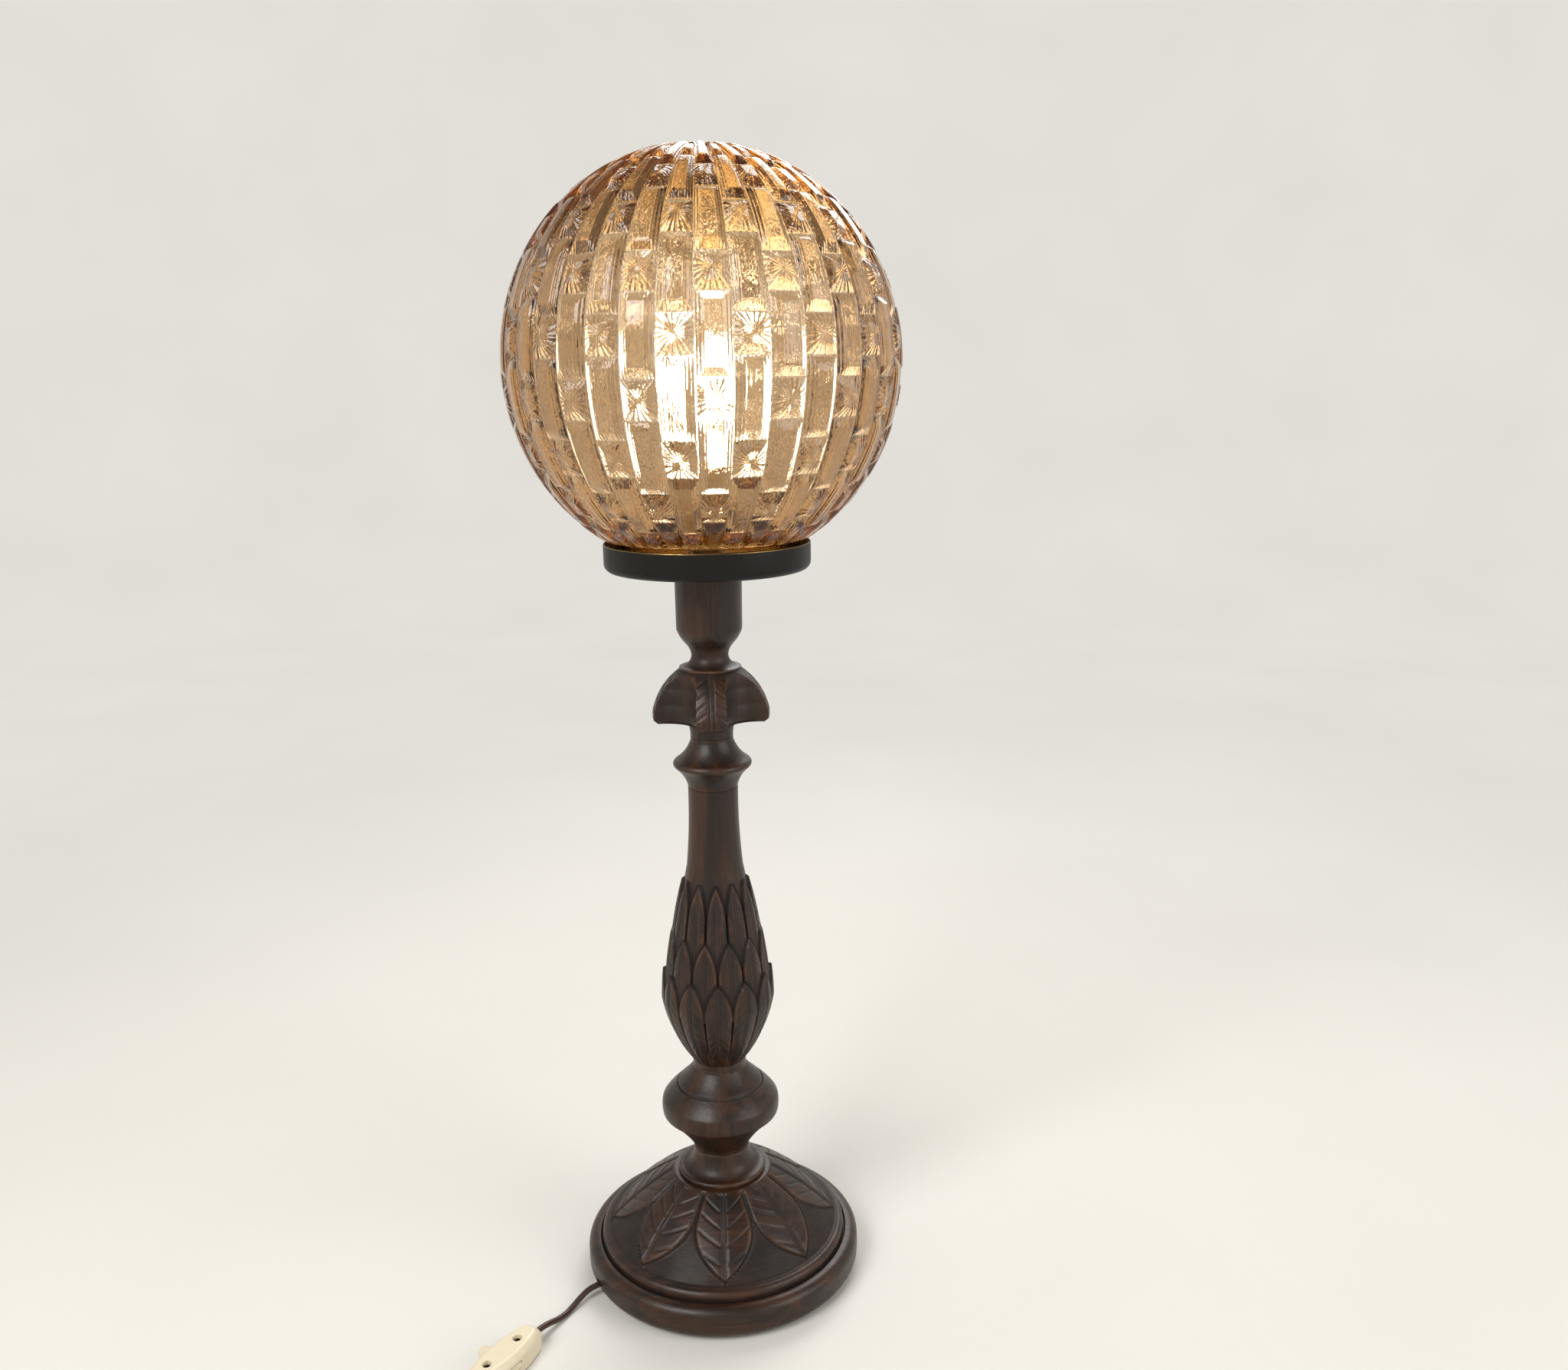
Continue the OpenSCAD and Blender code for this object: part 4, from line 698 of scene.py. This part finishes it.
class LAMP_OT_globe(bpy.types.Operator):
    """Globe: a shell of glass pressed outside into staggered columns of long bars and square blocks"""
    bl_idname = "lamp.globe"
    bl_label = "Globe"

    def execute(self, context):
        relief, wall, polish = in_mm(context, "glass_relief", "glass_wall", "glass_edge")
        floor, valley = corners("globe")[0, 2], GLOBE_R - relief
        lip, lowest = floor + NECK_H, -math.degrees(math.acos(NECK_R / valley))
        centre = lip - STRETCH * valley * math.sin(math.radians(lowest))
        # Columns: ten points to a block, close together where its bevels turn
        share = np.array([-1, -0.94, -0.76, -0.58, -0.47, 0, 0.47, 0.58, 0.76, 0.94])
        across = np.tile(share, COLUMNS)
        column = np.repeat(np.arange(COLUMNS), len(share))
        angle = np.radians(COLUMN_TURN + (column + (across + 1) / 2) * 360 / COLUMNS)
        # Rows: seven points to half a block, from the neck to the crown
        part = np.array([0, 0.07, 0.25, 0.44, 0.56, 0.75, 0.93])
        step = np.r_[(np.arange(FIRST_STEP, LAST_STEP)[:, None] + part).ravel(), LAST_STEP][:, None]
        lat, highest = np.maximum(LAT_ZERO + HALF_BLOCK * step, lowest), LAT_ZERO + HALF_BLOCK * LAST_STEP
        # Blocks: of each six half blocks two are a square and four a bar; odd columns are moved by three
        m = (step - 3 * (column % 2)) % 6
        square = m < 2
        start, span = np.where(square, 0, 2), np.where(square, 2, 4)
        from_end = np.minimum.reduce(np.broadcast_arrays(
            np.minimum(m - start, start + span - m) * HALF_BLOCK, np.abs(lat - lowest), np.abs(highest - lat)))
        from_side = 1 - np.abs(across)
        # Height: the least of the top, the long bevels and the hips, with its corners smoothed as by fire polish
        rise = relief * np.clip(soft_least(from_side / BEVEL, from_end / HIP, polish / relief * 0.5), 0, 1)
        # Crown: a star of eighteen ridges, 1.3 mm high where they are widest, that run out at the pole
        t, ridges, high = np.linspace(0, 1, 15)[1:, None], 18, 1.3
        ridge = 1 - np.abs((angle * ridges / TAU) % 1 * 2 - 1)
        star = high * ridge * smooth(t / 0.3) * smooth((1 - t) / 0.8)
        # Inside, and the mouth, whose edge is cut back by 0.8 mm
        inner_r, mouth_r, back = valley - wall, NECK_R - wall, 0.8
        inner = np.linspace(math.pi / 2, -math.acos(mouth_r / inner_r), 34)[:, None]
        mouth = np.array([(mouth_r, floor + back), (mouth_r + back, floor), (NECK_R - back, floor),
                          (NECK_R, floor + back), (NECK_R, lip - 6), (NECK_R, lip - 1.5)])

        def ball(r, a):
            """Points of the stretched ball at radius r and latitude a, on the blocks' columns."""
            return spun(r * np.cos(a), angle, centre + STRETCH * r * np.sin(a))

        crown = ball(valley + star, np.radians(90 - (90 - highest) * (1 - t)))
        hidden = np.concatenate([ball(inner_r, inner), spun(mouth[:, :1], angle, mouth[:, 1:])])
        grid = np.concatenate([hidden, ball(valley + rise, np.radians(lat)), crown])
        along = 1 - from_end / (span * HALF_BLOCK / 2)
        marks = {key: np.pad(values + 0 * from_end, ((len(hidden), len(crown)), (0, 0))) for key, values in (
            ("tooled", square.astype(float)), ("across", 1 - from_side), ("along", np.clip(along, 0, 1)))}
        obj = skin("globe_pressed", grid, marks, sharp=180)
        # Narrow strips along the edges turn from one face to the next, as fire polish leaves them
        even = obj.modifiers.new("polish", "WEIGHTED_NORMAL")
        even.mode, even.weight, even.thresh = "FACE_AREA", 100, 0.01
        dress(obj, "globe", "amber_glass", "globe")
        if abs(centre + STRETCH * GLOBE_R - TOP["globe"]) > 4:
            raise RuntimeError("the globe's crown doesn't meet the frame")
        return {"FINISHED"}


class LAMP_OT_bulb(bpy.types.Operator):
    """Bulb: a pear of opal glass, lit"""
    bl_idname = "lamp.bulb"
    bl_label = "Bulb"

    def execute(self, context):
        (_, _, low), (out, _, high) = corners("bulb_glass")
        neck, a = 12.4, np.linspace(-0.72, TAU / 4, 26)
        head = np.stack([out * np.cos(a), high - out + out * np.sin(a)], 1)
        run = outline([(0, low), (neck - 1, low), (neck, low + 1), (neck, low + 4)],
                      bow((neck + 0.6, low + 6), head[0], -2.2), head)
        run[-1, 0] = 0
        dress(skin("bulb_blown", lathe(run, 72)), "bulb", "opal_glass", "bulb_glass")
        return {"FINISHED"}


# ---------------------------------------------------------------- cord, switch and plug


def turned_place(x, y, z, at, turn):
    """Points given across a piece, brought to its place on the table: a turn about Z and a shift."""
    c, s = math.cos(math.radians(turn)), math.sin(math.radians(turn))
    x, y, z = np.broadcast_arrays(x, y, z)
    return np.stack([at[0] + x * c - y * s, at[1] + x * s + y * c, z], -1)


def at_switch(x, y, z):
    """A point of the switch, on the table."""
    return turned_place(x, y, z, SWITCH_AT, SWITCH_TURN)


def curve_through(*runs, n):
    """n even points on the smooth curve through the given ones: cubic runs whose slope at a point is that of the
    chord between its neighbours."""
    p = np.vstack(runs).astype(float)
    s = along_path(p)
    slope = np.gradient(p, s, axis=0)
    fine = np.linspace(0, s[-1], 40 * len(p))
    k = np.clip(np.searchsorted(s, fine, side="right") - 1, 0, len(p) - 2)
    h = (s[k + 1] - s[k])[:, None]
    t = (fine - s[k])[:, None] / h
    dense = (1 + 2 * t) * (1 - t) ** 2 * p[k] + t * (1 - t) ** 2 * h * slope[k] \
        + t ** 2 * (3 - 2 * t) * p[k + 1] + t ** 2 * (t - 1) * h * slope[k + 1]
    run = along_path(dense)
    return at_distance(dense, run, np.linspace(0, run[-1], n))


def tube(path, radius, sides):
    """Round section carried along a path that nowhere stands upright: across is level, lift is square to both."""
    ahead = np.gradient(path, axis=0)
    ahead /= np.linalg.norm(ahead, axis=1)[:, None]
    across = np.cross((0.0, 0.0, 1.0), ahead)
    across /= np.linalg.norm(across, axis=1)[:, None]
    lift = np.cross(ahead, across)
    a = angles(sides)[None, :, None]
    return capped(path[:, None] + radius * (across[:, None] * np.cos(a) + lift[:, None] * np.sin(a)))


def coil_place(t, cord):
    """Radius and height of the coil after t turns: layers, out to in and in to out by turns, each a pitch above the
    last."""
    layer = np.minimum(np.floor(t / COIL_TURNS), COIL_LAYERS - 1)
    f = t - layer * COIL_TURNS
    climb = sum(smooth((t - k * COIL_TURNS) * 2 + 0.5) for k in range(1, COIL_LAYERS))
    return COIL_R + COIL_PITCH * np.where(layer % 2 == 0, COIL_TURNS - f, f), \
        COIL_LIFT + cord / 2 + COIL_PITCH * climb


def strap_round(cord):
    """Strap drawn tight round the coil: the hull of the cord's sections where it lies, a little clear of them. For
    each direction the hull's point is that of the section furthest that way. Its end laps over its start."""
    first = (STRAP_TURN - COIL_START) / 360 % 1
    sections = np.stack(coil_place(np.arange(first, COIL_LAYERS * COIL_TURNS), cord), 1)
    way = TAU / 4 + 1e-3 + np.arange(121) * TAU / 120
    facing = np.stack([np.cos(way), np.sin(way)], 1)
    hull = sections[(facing @ sections.T).argmax(1)] + (cord / 2 + STRAP_ROOM) * facing
    run = along_path(hull)
    s = np.linspace(0, run[-1] + STRAP_LAP, 150)
    where = (s - STRAP_LAP - 0.5) % run[-1]
    middle, out = at_distance(hull, run, where), at_distance(facing, run, where)
    out /= np.linalg.norm(out, axis=1)[:, None]
    middle = middle + (STRAP_THICK + 0.05) * smooth((s - run[-1]) / 5 + 1)[:, None] * out
    side, rise = STRAP_WIDE / 2, STRAP_THICK
    y, up = np.array([(-side + 0.4, rise), (side - 0.4, rise), (side, rise - 0.3), (side, 0), (-side, 0),
                      (-side, rise - 0.3)]).T
    band = middle[:, None] + out[:, None] * up[None, :, None]
    return capped(turned_place(band[..., 0], y, band[..., 1], COIL_AT, STRAP_TURN))


class LAMP_OT_cords(bpy.types.Operator):
    """Cords: the lead from foot to switch, and the rest from the switch through a tied coil to the plug"""
    bl_idname = "lamp.cords"
    bl_label = "Cords"

    def execute(self, context):
        [d] = in_mm(context, "cord")
        lead = curve_through(
            [(-88.8, -41.4, 8), (-94, -44.4, 7.2), (-99.5, -49, 4.8), (-104.5, -55.5, 2.8), (-109, -62.5, 2.2),
             (-113.6, -69, 3.4)], at_switch(np.array([45, 37, 31, 25]), 0, np.array([5.6, 7.4, SEAM, SEAM])), n=36)
        turns = COIL_LAYERS * COIL_TURNS
        t = np.linspace(0, turns, round(turns * 24) + 1)
        r, z = coil_place(t, d)
        coil = spun(r, np.radians(COIL_START) + TAU * t, z) + (*COIL_AT, 0)
        # Before the coil and after it the cord keeps the coil's line for its own width
        start, leave = (p + d * (p - q) / np.linalg.norm(p - q) for p, q in ((coil[0], coil[1]), (coil[-1], coil[-2])))
        tail = curve_through(at_switch(np.array([-25, -31, -37, -44]), 0, np.array([SEAM, SEAM, 6.6, 4.4])), start,
                             coil[:2], n=24)
        end = curve_through(coil[-2:], leave, [(-129.6, -198.6, 15.6), (-120.9, -194.7, 12.6), (-112, -191.2, 9.2),
                                               (-104, -188.4, 7.2), PLUG_AT], n=24)
        rest = np.vstack([tail[:-1], coil[1:-2], end[1:]])
        for name, grid, stands_for in (
                ("cord_to_switch", tube(lead, d / 2, 16), ["cord_lead"]),
                ("cord_to_plug", tube(rest, d / 2, 16), ["cord_tail", "cord_coil", "cord_end"]),
                ("coil_strap", strap_round(d), ["coil_tie"])):
            dress(skin(name, grid), "stand", "brown_plastic", *stands_for)
        return {"FINISHED"}


def ray_to_circle(c, s, x, y, radius):
    """Distance from the middle along (c, s) to the far side of a circle, or far away where the ray misses it."""
    along = c * x + s * y
    left = radius ** 2 - x ** 2 - y ** 2 + along ** 2
    return np.where(left > 0, along + np.sqrt(np.clip(left, 0, None)), FAR)


def moulding(name, plan, rows, place, dent=None):
    """Moulded piece: for each (inset, scale, height) the plan, a distance for each direction, is drawn in by the inset
    and scaled to the middle. Heights may differ with direction; dent lowers points by their place."""
    a = angles(plan(0).size)
    radius = np.stack([plan(inset) * scale for inset, scale, _ in rows])
    x, y = radius * np.cos(a), radius * np.sin(a)
    z = np.stack([np.broadcast_to(height, a.shape) for _, _, height in rows])
    return skin(name, place(x, y, z if dent is None else z - dent(x, y)))


class LAMP_OT_switch(bpy.types.Operator):
    """Switch on the cord: two moulded shells, two sunk screws with slots, and a bar that is pushed through"""
    bl_idname = "lamp.switch"
    bl_label = "Switch"

    def execute(self, context):
        a = angles(240)
        c, s = np.cos(a), np.sin(a)

        def shell_plan(inset):
            """Least of four circles, two shallow ones for the long sides and two for the ends, with its corners
            rounded: the sum of the distances to the power -20, to the power -1 / 20."""
            far = np.stack([ray_to_circle(c, s, x, y, radius - inset) for x, y, radius in (
                (0, 78, 90), (0, -78, 90), (-8, 0, 39), (8, 0, 39))])
            return far.min(0) * ((far.min(0) / far) ** 20).sum(0) ** (-1 / 20)

        def screw_wells(x, y):
            """Two round wells over the screws, 5.5 mm deep."""
            return sum(5.5 * (1 - smooth((np.hypot(x - along, y) - 2.6) / 0.4)) for along in SCREWS.values())

        def bar_plan(inset):
            """Straight sides 9 mm apart, a flat back 16.25 mm from the middle, and a round front that reaches as far:
            the least of the distances to them."""
            half, long = 4.5, 16.25
            side = (half - inset) / np.maximum(np.abs(c), 1e-6)
            back = np.where(s < 0, (long - inset) / np.maximum(-s, 1e-6), FAR)
            front = np.where(s > 0.93, ray_to_circle(c, s, 0, long - half, half - inset), FAR)
            return np.minimum.reduce([side, back, front])

        # The shells give way to the bar at the sides and to the cord at the ends
        x, y = shell_plan(0) * c, shell_plan(0) * s
        bar_room = 2.7 * (1 - smooth((np.abs(x) - 4.8) / 0.35))
        cord_room = np.sqrt(np.clip(2.15 ** 2 - y ** 2, 0, None)) * (np.abs(x) > 20)
        room = np.maximum(bar_room, cord_room)
        top, brow, toe, play = corners("switch_cover")[1, 2], 10.6, 1.6, 0.06
        shoulder = ((0.12, 0.14), (0.5, 0.3), (1.2, 0.5), (2.1, 0.7), (3.0, 0.86), (3.7, 0.95), (4.4, 0.99))
        cover = moulding("switch_cover_moulded", shell_plan, [
            (0, 0, SEAM + 3.2), (0.6, 1, SEAM + room),
            *((0, 1, SEAM + room + k * (brow - SEAM - room)) for k in (0, 0.3, 0.6, 1)),
            *((inset, 1, brow + (top - brow) * h) for inset, h in shoulder),
            *((5.0, k, top) for k in np.linspace(1, 0, 92))], at_switch, screw_wells)
        base = moulding("switch_base_moulded", shell_plan, [
            (0, 0, 0), (1.4, 1, 0.0), (0.5, 1, 0.3), (0.1, 1, 0.9), (0, 1, toe),
            *((0, 1, toe + k * (SEAM - play - room - toe)) for k in (0.4, 0.8, 1)),
            (0.6, 1, SEAM - play - room), (0, 0, SEAM - 3.2)], at_switch)
        dress(cover, "stand", "ivory_plastic", "switch_cover")
        dress(base, "stand", "ivory_plastic", "switch_base")
        half = 2.3
        sides = ((1.0, -half), (0.35, -half + 0.3), (0, -half + 1.0), (0, half - 1.0), (0.35, half - 0.3), (1.0, half))
        bar = moulding("push_bar_moulded", bar_plan, [
            (1.0, 0, SEAM - half), *((inset, 1, SEAM + h) for inset, h in sides), (1.0, 0, SEAM + half)],
            lambda x, y, z: at_switch(x, y + 3.75, z))
        dress(bar, "push_bar", "ivory_plastic", "push_bar")
        # Screws: cheese heads 2.1 mm below the cover's top, turned from one outline, each with a slot 0.8 mm wide
        run = outline([(0, 2.5), (1.4, 2.5), (1.4, 10.02), (2.5, 10.02), (2.5, 12.9), (2.3, 13.3)],
                      np.stack([np.linspace(2, 0, 24), np.full(24, 13.4)], 1))
        x, y, z = np.moveaxis(lathe(run, 64), -1, 0)
        z = z - 0.9 * (z > 13) * (1 - smooth((np.abs(y) - 0.35) / 0.15))
        # The screws take the darkened steel, as painted shade of their deep wells
        for name, along in SCREWS.items():
            dress(skin(name, at_switch(x + along, y, z)), "stand", "steel", "switch_screws", finish="Steel, darkened for painted shade")
        return {"FINISHED"}


class LAMP_OT_plug(bpy.types.Operator):
    """Plug: a flat moulded body that narrows to a ribbed neck"""
    bl_idname = "lamp.plug"
    bl_label = "Plug"

    def execute(self, context):
        x = np.r_[0, np.linspace(0.2, 10, 34), np.linspace(10.4, 34.6, 40), 35.4, 35.8, 36, 36]
        wide = np.interp(x, [0, 10, 12, 16, 22, 26, 34.6, 36], [3.4, 4.6, 6.6, 10.2, 14.6, 16.6, 17, 16.2])
        tall = np.interp(x, [0, 10, 16, 20, 34.6, 36], [3.4, 4.6, 6.1, 6.85, 6.85, 6.1])
        ribs = np.where((x > 1) & (x < 9.4), 0.55 * crests(x / 2.1, 0.5), 0)
        wide, tall = wide - ribs, tall - ribs
        wide[[0, -1]], tall[[0, -1]] = 0, 0
        # Section: a circle at the neck that squares off towards the front, as a superellipse
        power = np.interp(x, [0, 10, 20, 36], [2, 2, 4.5, 6])[:, None]
        y, z = (size[:, None] * np.sign(part) * np.abs(part) ** (2 / power)
                for size, part in ((wide, np.cos(angles(96))), (tall, np.sin(angles(96)))))
        obj = skin("plug_moulded", turned_place(x[:, None], y, PLUG_AT[2] + z, PLUG_AT, PLUG_TURN))
        dress(obj, "stand", "brown_plastic", "plug_body")
        return {"FINISHED"}


# ---------------------------------------------------------------- stage


class LAMP_OT_stage(bpy.types.Operator):
    """Pale floor and backdrop, soft studio lights, and the camera at the photograph's angle"""
    bl_idname = "lamp.stage"
    bl_label = "Stage"

    def execute(self, context):
        scene = context.scene
        scene.view_settings.view_transform = "Standard"
        # A wide dish: level floor, a bend of 0.9 m and an upright wall all round
        run = outline([(0, -0.2)], np.stack([np.linspace(60, 2600, 30), np.full(30, -0.2)], 1),
                      quarter((2600, -0.2), (3500, 900), True, 14), [(3500, 2600)])
        floor = skin("floor", lathe(run[::-1], 96))
        # Paper: matt, with faint clouds about a third of a metre wide
        tree, place = new_material("Paper, matt")
        cloud = add(tree, "TexNoise", {"Vector": place, "Scale": per_mm(1000 / 3), "Detail": 2.0})
        tone = add(tree, "Mix", {0: cloud, 6: scene.lamp_finishes.floor, 7: linear("#DEDBD4")}, data_type="RGBA")
        shader = add(tree, "BsdfPrincipled", {"Base Color": tone, "Roughness": 0.9, "Specular IOR Level": 0.2})
        # Away from the lamp the paper shows its own colour to the camera, and to metal and glass, unshaded
        path = add(tree, "LightPath").outputs
        seen = add(tree, "Math", {0: path["Is Camera Ray"], 1: path["Is Glossy Ray"]}, operation="MAXIMUM")
        seen = add(tree, "Math", {0: seen, 1: path["Is Transmission Ray"]}, operation="MAXIMUM")
        reach = add(tree, "VectorMath", {0: place}, operation="LENGTH")
        far = add(tree, "MapRange", {"Value": reach, "From Min": 0.4, "From Max": 1.7}, interpolation_type="SMOOTHSTEP")
        share = add(tree, "Math", {0: seen, 1: far}, operation="MULTIPLY")
        flat = add(tree, "Emission", {"Color": tone, "Strength": 1.0})
        mixed = add(tree, "MixShader", {0: share, 1: shader, 2: flat})
        add(tree, "OutputMaterial", {"Surface": mixed})
        floor.data.materials.append(bpy.data.materials["Paper, matt"])
        scene.world = bpy.data.worlds.new("Studio")
        scene.world.use_nodes = True
        sky = scene.world.node_tree.nodes["Background"].inputs
        sky["Color"].default_value, sky["Strength"].default_value = (*linear("#F1EFEA"), 1.0), 0.3
        # Three large soft boxes: key at the left front, fill at the right, and one behind above
        for name, spot, size, power in (("key", (-1.3, -1.5, 1.9), 1.3, 46), ("fill", (1.7, -1.0, 1.2), 1.4, 18),
                                        ("rim", (0.5, 1.7, 1.9), 1.5, 34)):
            light = bpy.data.lights.new(name, "AREA")
            light.size, light.energy = size, power
            lamp = bpy.data.objects.new(name, light)
            aim = (Vector((0, 0, 0.36)) - Vector(spot)).to_track_quat("-Z", "Y")
            lamp.matrix_world = Matrix.Translation(spot) @ aim.to_matrix().to_4x4()
            lamp.visible_camera = False
            scene.collection.objects.link(lamp)
        # The photograph's view: a 30.8 mm lens on 36 mm, looking 12.8 degrees down, with the lamp left of the middle
        lens = bpy.data.cameras.new("photograph")
        lens.sensor_width, lens.lens, lens.clip_start, lens.clip_end = 36.0, 30.762, 0.01, 30.0
        camera = bpy.data.objects.new("photograph", lens)
        pan, tilt, roll = (Matrix.Rotation(math.radians(angle), 4, axis)
                           for angle, axis in ((-3.214, "Z"), (90 - 12.77, "X"), (-0.674, "Z")))
        camera.matrix_world = Matrix.Translation((0, -0.867, 0.621)) @ pan @ tilt @ roll
        scene.collection.objects.link(camera)
        scene.camera = camera
        return {"FINISHED"}


class LAMP_PT_pieces(bpy.types.Panel):
    """Lists the lamp's pieces, sizes and colours"""
    bl_idname = "LAMP_PT_pieces"
    bl_label = "Table lamp"
    bl_space_type = "VIEW_3D"
    bl_region_type = "UI"
    bl_category = "Table lamp"

    def draw(self, context):
        for operator in OPERATORS:
            self.layout.operator(operator.bl_idname)
        for group in (context.scene.lamp_sizes, context.scene.lamp_finishes):
            for key in group.__annotations__:
                self.layout.prop(group, key)


# In the order in which they run
OPERATORS = (LAMP_OT_finishes, LAMP_OT_foot, LAMP_OT_turnings, LAMP_OT_vase, LAMP_OT_collar, LAMP_OT_gallery,
             LAMP_OT_globe, LAMP_OT_bulb, LAMP_OT_switch, LAMP_OT_plug, LAMP_OT_cords, LAMP_OT_stage)
CLASSES = (LampSizes, LampFinishes, *OPERATORS, LAMP_PT_pieces)


def register():
    for cls in CLASSES:
        bpy.utils.register_class(cls)
    bpy.types.Scene.lamp_sizes = PointerProperty(type=LampSizes)
    bpy.types.Scene.lamp_finishes = PointerProperty(type=LampFinishes)


def unregister():
    del bpy.types.Scene.lamp_sizes, bpy.types.Scene.lamp_finishes
    for cls in reversed(CLASSES):
        bpy.utils.unregister_class(cls)


def main():
    register()
    bpy.ops.lamp.finishes()
    bpy.ops.lamp.foot()
    bpy.ops.lamp.turnings()
    bpy.ops.lamp.vase()
    bpy.ops.lamp.collar()
    bpy.ops.lamp.gallery()
    bpy.ops.lamp.globe()
    bpy.ops.lamp.bulb()
    bpy.ops.lamp.switch()
    bpy.ops.lamp.plug()
    bpy.ops.lamp.cords()
    bpy.ops.lamp.stage()


if __name__ == "__main__":
    main()
